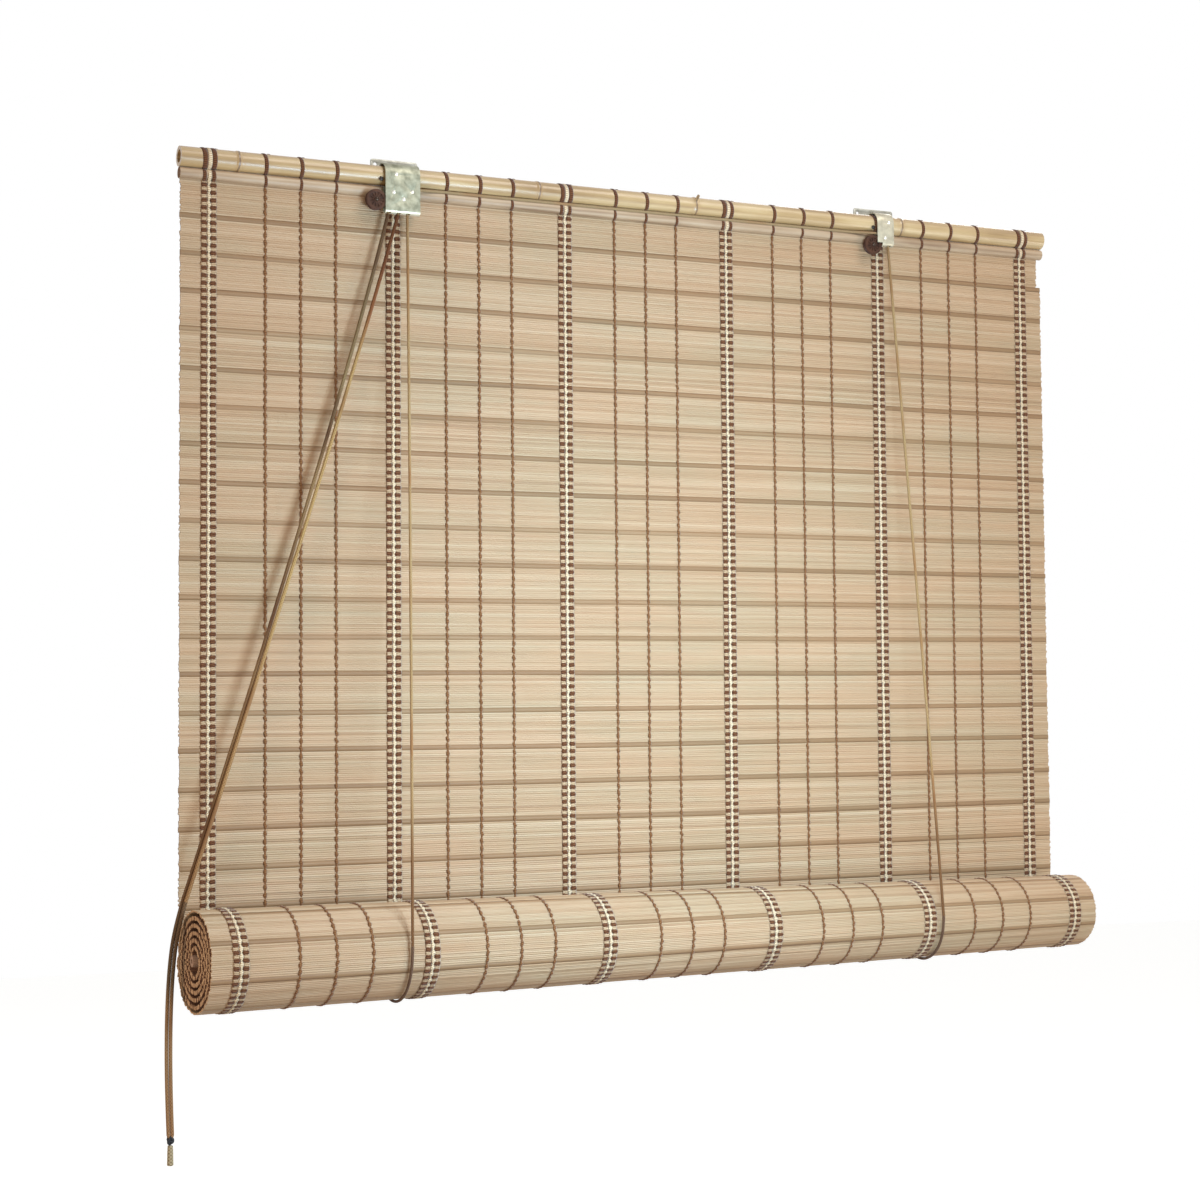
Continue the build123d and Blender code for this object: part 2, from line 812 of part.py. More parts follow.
write("top_pole", drill_pole(build_pole()))
batten = Rot(0, 90, 0) * Cylinder(batten_radius, 2 * pole_end)
write("batten", Pos(0, 0, batten_z) * batten - nail_hole(nail_places[1]))
write("hanging_mat", build_hanging_mat())
write("rolled_mat", build_rolled_mat())
write("bottom_rod", build_bottom_rod())

band_width = column_spacing + column_width
band_rings = [ring_on_pole(band, band_width) for band in band_places]
for place in nail_places[::2]:
    band_rings = [ring - nail_hole(place) for ring in band_rings]
write_group("pole_band_wraps", band_rings)
write_group("pole_thread_wraps", [ring_on_pole(place, thread_width) for place in single_places])
for number, band in enumerate(band_places, 1):
    columns = [hanging_strip(column, column_width) for column in band_columns(band)]
    write_group(f"hanging_band_{number}", columns)
    write(f"rolled_band_{number}", rolled_strip(band, band_width))
for number, group in enumerate(single_groups, 1):
    hanging = [hanging_strip(place, thread_width) for place in group]
    write_group(f"hanging_threads_{number}", hanging)
    write_group(f"rolled_threads_{number}", [rolled_strip(place, thread_width) for place in group])

write("lock_bracket", build_lock_bracket())
write("guide_bracket", build_guide_bracket())
write("lock_hanger", build_hanger(lock_x))
write("guide_hanger", build_hanger(guide_x))
write("lock_sheave_a", build_sheave(sheave_a))
write("lock_sheave_b", build_sheave(sheave_b))
write("guide_sheave", build_sheave(guide_sheave))
write("lock_wheel", build_wheel(lock_wheel))
write("guide_wheel", build_wheel(guide_wheel))
axles = [build_axle(place) for place in (sheave_a, sheave_b, guide_sheave, lock_wheel, guide_wheel)]
write_group("axles", axles)
write_group("bracket_nails", [build_nail(place) for place in nail_places])
write_group("stop_nails", [build_stop_nail(x) for x in stop_nail_places])
write_group("cord_tacks", [build_tack(x) for x in tack_places])

lift_cord("left", left_lift_x, lock_exit_z, left_cradle_x, tack_places[0])
lift_cord("right", right_lift_x, guide_exit_z, right_cradle_x, tack_places[1])
write("left_cord_in_lock", build_lock_cord())
write("crossing_cord", build_crossing_cord())
laid_cord("pull_cord_a_upper", pull_a_upper)
laid_cord("pull_cord_b_upper", pull_b_upper)
laid_cord("pull_cord_a_tail", pull_a_tail)
laid_cord("pull_cord_b_tail", pull_b_tail)
write("pull_knot", build_knot())
write("pull_tip", build_tip())
print("mat", round(mat_width), "wide, seam", round(seam_z(-half_width), 1), round(seam_z(half_width), 1))
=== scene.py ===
# %% [markdown]
# # A bamboo reed blind, half rolled up
#
# The blind hangs from a cane pole. A stick under the pole starts the mat, which is hundreds of
# thin reeds tied together by brown and cream yarn. The lower part of the mat is wound into a
# roll, and two cords carry the roll: each goes from a bracket down the front, under the roll and
# up the back. Their free ends come out of the left bracket and hang beside the roll.
#
# All pieces are in metres, in the frame of the construction model: +X along the width, +Y to the
# wall, +Z up, with the origin in the middle of the pole.

import bpy
import numpy as np
from mathutils import Matrix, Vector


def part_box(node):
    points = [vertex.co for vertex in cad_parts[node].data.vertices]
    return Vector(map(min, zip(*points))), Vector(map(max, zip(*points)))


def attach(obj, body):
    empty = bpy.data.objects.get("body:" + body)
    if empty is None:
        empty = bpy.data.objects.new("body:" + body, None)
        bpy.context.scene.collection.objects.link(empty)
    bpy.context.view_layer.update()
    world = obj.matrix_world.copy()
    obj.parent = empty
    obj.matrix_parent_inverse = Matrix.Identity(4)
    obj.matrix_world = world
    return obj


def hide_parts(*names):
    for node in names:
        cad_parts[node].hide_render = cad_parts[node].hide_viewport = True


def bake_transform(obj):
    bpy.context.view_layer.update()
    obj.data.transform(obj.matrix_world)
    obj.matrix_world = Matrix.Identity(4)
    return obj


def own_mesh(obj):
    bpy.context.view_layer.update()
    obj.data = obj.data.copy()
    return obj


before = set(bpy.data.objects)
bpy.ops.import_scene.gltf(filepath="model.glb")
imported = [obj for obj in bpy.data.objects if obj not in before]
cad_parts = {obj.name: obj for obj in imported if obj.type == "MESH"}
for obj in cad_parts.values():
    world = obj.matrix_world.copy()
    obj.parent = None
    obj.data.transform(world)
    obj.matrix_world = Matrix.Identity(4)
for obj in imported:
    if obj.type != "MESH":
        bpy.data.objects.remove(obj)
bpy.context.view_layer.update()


mm = 0.001

# %% [markdown]
# ## The camera
#
# The photograph was taken from the left of the blind and a little below its middle, with the
# camera level with the lower part. A camera can be placed by trial, but here its place was
# worked out from points whose real positions are known: the pole's ends, the mat's corners and
# the roll's outline. The result is an eye point, three angles, and a focal length in pixels.

# %% Camera
image_pixels = 1200.0
focal_pixels = 2408.0
sensor_width = 36.0
eye = np.array([-1.346, -2.679, -0.677])
heading, climb, bank = np.radians([25.5, 3.36, -0.46])


def set_all(thing, **settings):
    """Sets several properties of one thing, and gives it back."""
    for name, value in settings.items():
        setattr(thing, name, value)
    return thing


def stand(thing, right, back, place):
    """Puts a camera or lamp at a place, with its own X along right and its own Z along back."""
    columns = np.column_stack([right, np.cross(back, right), back, place])
    rows = [[float(value) for value in row] for row in columns]
    thing.matrix_world = Matrix(rows + [[0.0, 0.0, 0.0, 1.0]])
    bpy.context.collection.objects.link(thing)


level = np.cos(climb)
forward = np.array([np.sin(heading) * level, np.cos(heading) * level, np.sin(climb)])
level_right = np.array([np.cos(heading), -np.sin(heading), 0.0])
level_up = np.cross(level_right, forward)
camera_right = np.cos(bank) * level_right + np.sin(bank) * level_up

lens = sensor_width * focal_pixels / image_pixels
camera_data = set_all(bpy.data.cameras.new("camera"), sensor_width=sensor_width, lens=lens)
camera = bpy.data.objects.new("camera", camera_data)
stand(camera, camera_right, -forward, eye)
bpy.context.scene.camera = camera
print("lens", round(lens, 1), "mm")

# %% [markdown]
# ## From numbers to a mesh
#
# Nearly everything here is long and thin: reeds, yarns, cords. Each is a tube: a row of stations
# along its length, and at each station a ring of points round its section. Adding them one by
# one with Blender's own shapes would make thousands of objects, so a whole family of tubes is
# worked out as one array with four axes (tube, station, place in the ring, x y z) and becomes
# one mesh.

# %% Tubes from an array


def tube_faces(tubes, stations, ring):
    """The faces of many tubes. A point's number is (tube * stations + station) * ring + place.

    Each side face joins two neighbouring places of two neighbouring stations, and each end is
    closed with one flat face.
    """
    number = np.arange(tubes * stations * ring).reshape(tubes, stations, ring)
    here, there = number[:, :-1], number[:, 1:]
    sides = np.stack([here, np.roll(here, -1, 2), np.roll(there, -1, 2), there], axis=-1)
    ends = np.concatenate([number[:, 0, ::-1], number[:, -1]])
    return sides.reshape(-1, 4), ends


def signed_volume(points, quads):
    """Six times the volume that the faces enclose, positive when they point outwards.

    It adds up, over both triangles of each face, the product of one corner with the cross
    product of the other two.
    """
    a, b, c, d = (points[quads[:, corner]] for corner in range(4))
    return float(np.sum(a * (np.cross(b, c) + np.cross(c, d))))


def add_mesh(name, points, face_groups, materials, smooth=(True,), uv=None, tone=None):
    """One object from points (n, 3) and groups of faces, each an array (faces, corners).

    Group number i takes material number i and smooth[i]. uv holds one (u, v) per face corner,
    and tone one number per point, which a material can read.
    """
    mesh = bpy.data.meshes.new(name)
    corners = np.concatenate([group.ravel() for group in face_groups])
    sizes = np.concatenate([np.full(len(group), group.shape[1]) for group in face_groups])
    starts = np.concatenate([[0], np.cumsum(sizes)[:-1]])
    which = np.concatenate([np.full(len(group), i) for i, group in enumerate(face_groups)])
    material_numbers = np.minimum(which, len(materials) - 1).astype(np.int32)
    mesh.vertices.add(len(points))
    mesh.vertices.foreach_set("co", np.ascontiguousarray(points, np.float32).ravel())
    mesh.loops.add(len(corners))
    mesh.loops.foreach_set("vertex_index", corners.astype(np.int32))
    mesh.polygons.add(len(sizes))
    mesh.polygons.foreach_set("loop_start", starts.astype(np.int32))
    mesh.update(calc_edges=True)
    mesh.polygons.foreach_set("material_index", material_numbers)
    mesh.polygons.foreach_set("use_smooth", np.array(smooth)[which])
    if uv is not None:
        layer = mesh.uv_layers.new(name="UVMap")
        layer.uv.foreach_set("vector", np.ascontiguousarray(uv, np.float32).ravel())
    if tone is not None:
        attribute = mesh.attributes.new("tone", "FLOAT", "POINT")
        attribute.data.foreach_set("value", np.ascontiguousarray(tone, np.float32))
    for material in materials:
        mesh.materials.append(material)
    mesh.validate()
    piece = bpy.data.objects.new(name, mesh)
    bpy.context.collection.objects.link(piece)
    return piece


def sharpen_ends(mesh, stations, ring):
    """Marks the edges round both ends of each tube as sharp. Without this the smooth sides would
    take their shading from the flat ends too, over the whole first stretch."""
    edges = np.empty(len(mesh.edges) * 2, np.int32)
    mesh.edges.foreach_get("vertices", edges)
    station = edges.reshape(-1, 2) // ring % stations
    sharp = (station[:, 0] == station[:, 1]) & np.isin(station[:, 0], (0, stations - 1))
    mesh.attributes.new("sharp_edge", "BOOLEAN", "EDGE").data.foreach_set("value", sharp)


def add_tubes(name, grid, materials, tone=None):
    """Tubes from an array (tube, station, place, 3), closed at both ends.

    u of the UV map is the length along the tube in metres, measured on the first place of each
    ring, and v goes once round from 0 to 1. tone holds one number per tube.
    """
    tubes, stations, ring, _ = grid.shape
    points = grid.reshape(-1, 3)
    sides, ends = tube_faces(tubes, stations, ring)
    steps = np.linalg.norm(np.diff(grid[:, :, 0], axis=1), axis=-1)
    along = np.concatenate([np.zeros((tubes, 1)), np.cumsum(steps, axis=1)], axis=1)
    u = np.stack([along[:, :-1], along[:, :-1], along[:, 1:], along[:, 1:]], axis=-1)
    u = np.repeat(u[:, :, None, :], ring, axis=2)
    place = np.arange(ring) / ring
    v = np.stack([place, place + 1 / ring, place + 1 / ring, place], axis=-1)
    v = np.broadcast_to(v, u.shape)
    uv = np.stack([u, v], axis=-1).reshape(-1, 2)
    if signed_volume(points, sides) < 0:
        sides, ends = sides[:, ::-1], ends[:, ::-1]
        uv = uv.reshape(-1, 4, 2)[:, ::-1].reshape(-1, 2)
    uv = np.concatenate([uv, np.zeros((ends.size, 2))])
    if tone is not None:
        tone = np.repeat(tone, stations * ring)
    piece = add_mesh(name, points, [sides, ends], materials, (True, False), uv, tone)
    sharpen_ends(piece.data, stations, ring)
    print(name, len(points), "points,", 2 * len(sides) + len(ends) * (ring - 2), "triangles")
    return piece


def enter(piece, body, slot, *nodes):
    """Attaches a piece to the body it rides on and hides the nodes it replaces. slot is not used.
    """
    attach(piece, body)
    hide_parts(*nodes)


# %% [markdown]
# ## Finishes
#
# Every finish is a small graph of nodes that ends in the Principled shader. A number that is the
# same all over, such as roughness, is set on the shader itself. What varies, such as the grain,
# comes from noise that is stretched along the fibre and drives colour and bump together, because
# on real bamboo both come from the same fibres.

# %% Helpers for finishes


def new_finish(name, roughness, specular=0.5, **sockets):
    """A material with a Principled shader, and its node tree."""
    finish = bpy.data.materials.new(name)
    finish.use_nodes = True
    shader = finish.node_tree.nodes["Principled BSDF"]
    shader.inputs["Roughness"].default_value = roughness
    shader.inputs["Specular IOR Level"].default_value = specular
    for socket, value in sockets.items():
        shader.inputs[socket.replace("_", " ")].default_value = value
    return finish, finish.node_tree, shader


def feed(tree, socket, value):
    """Connects an output to a socket, or sets the socket to a number or colour."""
    if isinstance(value, bpy.types.NodeSocket):
        tree.links.new(value, socket)
    else:
        socket.default_value = value


def add_node(tree, kind, inputs=None, **settings):
    """A node of that kind with its settings. Inputs are numbers, colours or other outputs."""
    node = set_all(tree.nodes.new("ShaderNode" + kind), **settings)
    for name, value in (inputs or {}).items():
        feed(tree, node.inputs[name], value)
    return node


def fibre_noise(tree, along, across, detail):
    """Noise with grains 1 / along metres long along X and 1 / across metres wide."""
    place = add_node(tree, "TexCoord").outputs["Object"]
    mapped = add_node(tree, "Mapping", {"Vector": place, "Scale": (along, across, across)})
    inputs = {"Vector": mapped.outputs[0], "Scale": 1.0, "Detail": detail}
    return add_node(tree, "TexNoise", inputs).outputs["Fac"]


def coordinate(tree, source, axis):
    """X, Y or Z of the Object or UV coordinates."""
    place = add_node(tree, "TexCoord").outputs[source]
    return add_node(tree, "SeparateXYZ", {"Vector": place}).outputs[axis]


def ramp(tree, factor, stops):
    """Colours between stops (place, colour) along a factor from 0 to 1."""
    node = add_node(tree, "ValToRGB", {"Fac": factor})
    while len(node.color_ramp.elements) < len(stops):
        node.color_ramp.elements.new(0.5)
    for element, (place, colour) in zip(node.color_ramp.elements, stops):
        element.position = place
        element.color = (*colour, 1.0)
    return node.outputs["Color"]


def mixed(tree, factor, first, second, way="MIX"):
    """The output first and the output or colour second, mixed by a factor in the way named."""
    if not isinstance(second, bpy.types.NodeSocket):
        second = (*second, 1.0)
    inputs = {0: factor, 6: first, 7: second}
    return add_node(tree, "Mix", inputs, data_type="RGBA", blend_type=way).outputs[2]


def maths(tree, operation, *values, clamp=False):
    """One arithmetic step between outputs or numbers."""
    inputs = dict(enumerate(values))
    return add_node(tree, "Math", inputs, operation=operation, use_clamp=clamp).outputs[0]


def weighted(tree, first, first_share, second, second_share):
    """The sum of two outputs, each times its own share."""
    first_part = maths(tree, "MULTIPLY", first, first_share)
    return maths(tree, "ADD", first_part, maths(tree, "MULTIPLY", second, second_share))


def swing(tree, noise, size):
    """Noise that swings round zero: size times (noise - 0.5)."""
    return maths(tree, "MULTIPLY", maths(tree, "SUBTRACT", noise, 0.5), size)


def finish_with(tree, shader, colour, height=None, bump=0.3, depth=0.0005):
    """Connects the colour, and a height in units of depth metres as bump."""
    tree.links.new(colour, shader.inputs["Base Color"])
    if height is not None:
        node = add_node(tree, "Bump", {"Height": height, "Strength": bump, "Distance": depth})
        tree.links.new(node.outputs[0], shader.inputs["Normal"])


# %% [markdown]
# ### Reed and cane
#
# The reeds are split bamboo and grass stems: tan, each with its own tone, some greyer and some
# redder, with fine fibres along their length. Each reed carries one number, its tone, which the
# material reads as an attribute. Slow noise adds stains that run over several reeds, as the
# photograph shows.

# %% Reed finish


def reed_finish(name, dark, middle, light):
    """Tone per reed, fibres along X, and stains a few centimetres long."""
    finish, tree, shader = new_finish(name, 0.58, 0.35)
    tone = add_node(tree, "Attribute", attribute_name="tone").outputs["Fac"]
    fibres = fibre_noise(tree, 9.0, 1400.0, 3.0)
    stains = fibre_noise(tree, 5.0, 26.0, 3.0)
    streaks = fibre_noise(tree, 2.2, 230.0, 2.0)
    amount = maths(tree, "ADD", tone, swing(tree, fibres, 0.34))
    amount = maths(tree, "ADD", amount, swing(tree, streaks, 0.55))
    colour = ramp(tree, amount, [(0.0, dark), (0.5, middle), (1.0, light)])
    greyer = ramp(tree, stains, [(0.38, (1.04, 0.985, 0.93)), (0.64, (0.975, 1.0, 0.965))])
    colour = mixed(tree, 1.0, colour, greyer, "MULTIPLY")
    finish_with(tree, shader, colour, fibres, 0.5, 0.0003)
    return finish


reed = reed_finish("reed", (0.201, 0.114, 0.060), (0.454, 0.296, 0.175), (0.594, 0.443, 0.303))
slat_wood = reed_finish("slat", (0.182, 0.101, 0.050), (0.308, 0.182, 0.093), (0.450, 0.300, 0.178))
# Painted shade: the inner turns of the roll lie in each other's shade, so get darker reeds.
shaded_inner_colours = (0.100, 0.046, 0.028), (0.215, 0.102, 0.062), (0.34, 0.175, 0.105)
shaded_inner_reed = reed_finish("shaded_inner_reed", *shaded_inner_colours)


def cut_finish(name, dark, light):
    """The sawn end of a reed: dull, with dark pores."""
    finish, tree, shader = new_finish(name, 0.85, 0.2)
    pores = fibre_noise(tree, 900.0, 900.0, 2.0)
    finish_with(tree, shader, ramp(tree, pores, [(0.35, dark), (0.7, light)]), pores)
    return finish


cut_end = cut_finish("cut_end", (0.13, 0.065, 0.038), (0.34, 0.21, 0.13))
roll_cut_end = cut_finish("roll_cut_end", (0.40, 0.215, 0.105), (0.84, 0.53, 0.30))
rod_wood = cut_finish("rod_wood", (0.34, 0.19, 0.12), (0.62, 0.40, 0.28))
print("reeds, slats and cut ends are made")

# %% Cane and stick finishes


def cane_finish(name, dark, middle, light, roughness, coat, ring_places=()):
    """Glossy cane: long streaks along X, fine fibres, and at each of its rings a thin dark line
    in a softer belt."""
    finish, tree, shader = new_finish(name, roughness, 0.5, Coat_Weight=coat, Coat_Roughness=0.26)
    streaks = fibre_noise(tree, 3.5, 190.0, 4.0)
    fibres = fibre_noise(tree, 14.0, 1500.0, 2.0)
    blotches = fibre_noise(tree, 9.0, 45.0, 3.0)
    amount = weighted(tree, streaks, 0.6, blotches, 0.4)
    colour = ramp(tree, amount, [(0.34, dark), (0.5, middle), (0.66, light)])
    x = coordinate(tree, "Object", "X")
    wobble = swing(tree, blotches, 0.004)
    belt_reach, belt_softness, line_reach = 0.009, 60.0, 0.0011
    for ring_x in ring_places:
        away = maths(tree, "ADD", maths(tree, "SUBTRACT", x, ring_x), wobble)
        away = maths(tree, "ABSOLUTE", away)
        inside = maths(tree, "SUBTRACT", belt_reach, away)
        belt = maths(tree, "MULTIPLY", inside, belt_softness, clamp=True)
        line = maths(tree, "MULTIPLY", maths(tree, "LESS_THAN", away, line_reach), 0.75)
        colour = mixed(tree, belt, colour, (0.46, 0.27, 0.12))
        colour = mixed(tree, line, colour, (0.13, 0.07, 0.035))
    finish_with(tree, shader, colour, maths(tree, "ADD", fibres, streaks), 0.25, 0.0004)
    return finish


ring_places = [-0.532, -0.151, 0.0669, 0.3736]
cane_colours = (0.325, 0.190, 0.079), (0.505, 0.330, 0.151), (0.67, 0.485, 0.257)
stick_colours = (0.25, 0.150, 0.082), (0.46, 0.310, 0.190), (0.60, 0.45, 0.30)
cane = cane_finish("cane", *cane_colours, 0.36, 0.45, ring_places)
stick = cane_finish("pale_stick", *stick_colours, 0.52, 0.06)
print("cane with", len(ring_places), "rings, and the stick")

# %% [markdown]
# ### Yarn and cord
#
# The yarn is soft spun cotton in dark brown and cream. The cords are braided: fine strands wind
# round both ways and cross. Two waves on the UV map, one leaning each way, give that pattern,
# because the UV map follows the cord wherever it goes.

# %% Yarn and cord finishes

full_turn = 6.2832


def twisted(tree, per_metre, lean):
    """A wave that winds round a tube: half plus half the sine of (u times its count per metre,
    plus lean turns of v)."""
    u, v = (coordinate(tree, "UV", axis) for axis in "XY")
    phase = weighted(tree, u, per_metre, v, lean)
    wave = maths(tree, "SINE", maths(tree, "MULTIPLY", phase, full_turn))
    return maths(tree, "MULTIPLY_ADD", wave, 0.5, 0.5)


def yarn_finish(name, dark, light):
    """Spun yarn: plies that wind one way, with loose fibres."""
    finish, tree, shader = new_finish(name, 0.9, 0.15, Sheen_Weight=0.25, Sheen_Roughness=0.5)
    plies = twisted(tree, 420.0, 1.0)
    fuzz = fibre_noise(tree, 900.0, 900.0, 2.0)
    amount = weighted(tree, plies, 0.45, fuzz, 0.6)
    finish_with(tree, shader, ramp(tree, amount, [(0.25, dark), (0.8, light)]), amount, 0.7, 0.0004)
    return finish


def cord_finish(name, dark, light, stain, stain_share=0.42, tints=(), length=1.0):
    """Braided cord: two crossing waves, with longer stretches that are stained.

    tints are stops (share of length, factor on the colour), for a cord that is darker in some
    stretches than in others: some stops are the cord's own colour, others painted shade.
    """
    finish, tree, shader = new_finish(name, 0.80, 0.20, Sheen_Weight=0.06, Sheen_Roughness=0.5)
    weave = maths(tree, "MAXIMUM", twisted(tree, 260.0, 4.0), twisted(tree, 260.0, -4.0))
    amount = weighted(tree, weave, 0.6, fibre_noise(tree, 1100.0, 1100.0, 2.0), 0.4)
    colour = ramp(tree, amount, [(0.3, dark), (0.85, light)])
    soft = 0.08
    stops = [(stain_share - soft, (1, 1, 1)), (stain_share + soft, (0, 0, 0))]
    stained = ramp(tree, fibre_noise(tree, 14.0, 14.0, 2.0), stops)
    colour = mixed(tree, stained, colour, stain)
    if tints:
        share = maths(tree, "DIVIDE", coordinate(tree, "UV", "X"), length)
        colour = mixed(tree, 1.0, colour, ramp(tree, share, tints), "MULTIPLY")
    finish_with(tree, shader, colour, amount, 0.8, 0.0004)
    return finish


brown_yarn = yarn_finish("brown_yarn", (0.060, 0.019, 0.008), (0.208, 0.079, 0.032))
single_yarn = yarn_finish("single_yarn", (0.105, 0.039, 0.014), (0.335, 0.150, 0.056))
cream_yarn = yarn_finish("cream_yarn", (0.50, 0.33, 0.19), (0.92, 0.74, 0.50))
# The cream ground between the stitches is the cream yarn drawn darker: painted shade in the gaps.
shaded_cream_yarn = yarn_finish("shaded_cream_yarn", (0.34, 0.210, 0.115), (0.62, 0.435, 0.265))
lift_colours = (0.24, 0.150, 0.070), (0.50, 0.36, 0.20), (0.34, 0.19, 0.09)
lift_finish = cord_finish("lift_cord", *lift_colours)
# Painted shade: the front cord is darker at its top, under the bracket, and where it lies on the
# roll.
front_shade_tints = [
    (0.0, (0.70, 0.58, 0.46)),
    (0.10, (1.0, 0.94, 0.80)),
    (0.80, (0.95, 0.82, 0.66)),
    (0.88, (0.52, 0.34, 0.24)),
    (1.0, (0.42, 0.27, 0.19)),
]
front_finish = cord_finish("front_cord", *lift_colours, tints=front_shade_tints, length=0.87)
# Painted shade: the stretch of lift cord under the roll gets a much darker copy of its colours.
loop_shade_colours = (0.070, 0.033, 0.018), (0.175, 0.095, 0.055), (0.10, 0.05, 0.028)
loop_shade_finish = cord_finish("loop_cord_shaded", *loop_shade_colours)
# Painted shade: the dark first stretch of each pull cord, under the bracket, and cord a's dark
# stretch a third of the way down, where the two cords meet. The other light and dark stretches are
# the cords' own uneven colour.
pull_a_tints_with_shade = [
    (0.0, (0.22, 0.14, 0.10)),
    (0.08, (0.36, 0.30, 0.24)),
    (0.25, (0.60, 0.54, 0.42)),
    (0.33, (0.24, 0.15, 0.11)),
    (0.40, (0.66, 0.54, 0.40)),
    (0.60, (0.30, 0.17, 0.12)),
    (0.70, (0.66, 0.48, 0.33)),
    (1.0, (0.38, 0.25, 0.17)),
]
pull_b_tints_with_shade = [
    (0.0, (0.26, 0.12, 0.07)),
    (0.15, (0.56, 0.28, 0.17)),
    (0.22, (1.0, 0.82, 0.54)),
    (0.55, (1.08, 0.90, 0.58)),
    (0.72, (0.98, 0.74, 0.50)),
    (1.0, (0.76, 0.52, 0.34)),
]
tail_tints = [
    (0.0, (0.40, 0.30, 0.24)),
    (0.34, (0.36, 0.31, 0.27)),
    (0.46, (0.84, 0.64, 0.50)),
    (1.0, (0.80, 0.56, 0.42)),
]
pull_colours = (0.21, 0.145, 0.078), (0.50, 0.375, 0.225), (0.30, 0.20, 0.12)
pull_a_finish = cord_finish("pull_a", *pull_colours, tints=pull_a_tints_with_shade, length=0.844)
pull_b_finish = cord_finish("pull_b", *pull_colours, tints=pull_b_tints_with_shade, length=0.847)
tail_finish = cord_finish("tail", *pull_colours, tints=tail_tints, length=0.258)
knot_colours = (0.006, 0.006, 0.008), (0.045, 0.045, 0.05), (0.02, 0.02, 0.02)
dark_cord = cord_finish("dark_cord", *knot_colours, stain_share=0.5)
print("four yarns and seven cords")

# %% [markdown]
# ### Metal and plastic
#
# The brackets are thin sheet with a dull, greenish plating. Pin and nail heads are brighter,
# because they are polished by handling. The wheels are dark brown plastic. Noise on the
# roughness breaks up the highlights, as on any used surface.

# %% Metal and plastic finishes


def worn_finish(name, colour, stain, roughness, metallic, **sockets):
    """A hard surface: two colours in patches, fine grain in the bump, and uneven roughness."""
    finish, tree, shader = new_finish(name, roughness, 0.5, Metallic=metallic, **sockets)
    patches = fibre_noise(tree, 120.0, 120.0, 5.0)
    grain = fibre_noise(tree, 350.0, 350.0, 3.0)
    tint = ramp(tree, patches, [(0.34, stain), (0.66, colour)])
    low, high = roughness - 0.06, roughness + 0.08
    uneven = ramp(tree, patches, [(0.3, (high, high, high)), (0.7, (low, low, low))])
    tree.links.new(uneven, shader.inputs["Roughness"])
    finish_with(tree, shader, tint, grain, 0.10, 0.0001)
    return finish


plated = worn_finish("plated_sheet", (0.46, 0.45, 0.33), (0.23, 0.225, 0.155), 0.46, 0.55)
pale_plated = worn_finish("pale_plated", (0.60, 0.54, 0.40), (0.42, 0.37, 0.27), 0.46, 0.5)
grey_sheet = worn_finish("grey_sheet", (0.47, 0.46, 0.40), (0.33, 0.32, 0.27), 0.42, 0.7)
steel_colours = (0.86, 0.84, 0.76), (0.62, 0.60, 0.52)
bright_steel = worn_finish("bright_steel", *steel_colours, 0.22, 0.9)
axle_steel = worn_finish("axle_steel", *steel_colours, 0.25, 0.7)
dark_steel = worn_finish("dark_steel", (0.05, 0.04, 0.035), (0.02, 0.015, 0.012), 0.5, 0.6)
plastic_colours = (0.090, 0.034, 0.016), (0.040, 0.014, 0.007)
brown_plastic = worn_finish("brown_plastic", *plastic_colours, 0.52, 0.0, Specular_IOR_Level=0.25)


def tint_near(finish, axis, places, reach, tint):
    """Gives a finish the tint wherever its X, Y or Z is within reach of one of the places, with
    an edge about half a millimetre soft."""
    softness = 2000.0
    tree = finish.node_tree
    socket = tree.nodes["Principled BSDF"].inputs["Base Color"]
    colour = socket.links[0].from_socket
    for place in places:
        away = maths(tree, "SUBTRACT", coordinate(tree, "Object", axis), place)
        inside = maths(tree, "SUBTRACT", reach, maths(tree, "ABSOLUTE", away))
        share = maths(tree, "MULTIPLY", inside, softness, clamp=True)
        colour = mixed(tree, share, colour, tint)
    tree.links.new(colour, socket)


# The two wheels turn on dark pins, and the pulleys inside the brackets on bright ones. The lower
# lip of the left bracket is tinted pale: a painted highlight along its fold.
tint_near(axle_steel, "X", (-0.365, 0.3262), 0.006, (0.05, 0.03, 0.02))
tint_near(plated, "Z", (-0.0470,), 0.0032, (0.74, 0.69, 0.54))
print("seven hard finishes")

# %% [markdown]
# ## The cords
#
# Cords come first, because they have to hang where the construction model has them. A cord is a
# smooth spline through the air with a few given points. Blender's NURBS curve is that
# spline, and a tube of points follows it. A mesh tube, and not the curve's own bevel, is used
# because these cords grow shorter or longer when the blind is pulled up.

# %% Route and tube helpers

cord_radius = 1.75 * mm
pull_radius = 2.2 * mm


def smooth_line(points, resolution=16):
    """Points along one open NURBS spline of order 3 that starts and ends at the given ends."""
    curve = bpy.data.curves.new("route", "CURVE")
    curve.dimensions = "3D"
    spline = curve.splines.new("NURBS")
    spline.points.add(len(points) - 1)
    spline.points.foreach_set("co", np.column_stack([points, np.ones(len(points))]).ravel())
    set_all(spline, order_u=3, use_endpoint_u=True, resolution_u=resolution)
    holder = bpy.data.objects.new("route", curve)
    bpy.context.collection.objects.link(holder)
    bpy.context.view_layer.update()
    mesh = bpy.data.meshes.new_from_object(holder)
    line = np.empty(len(mesh.vertices) * 3)
    mesh.vertices.foreach_get("co", line)
    bpy.data.objects.remove(holder)
    bpy.data.curves.remove(curve)
    bpy.data.meshes.remove(mesh)
    return line.reshape(-1, 3)


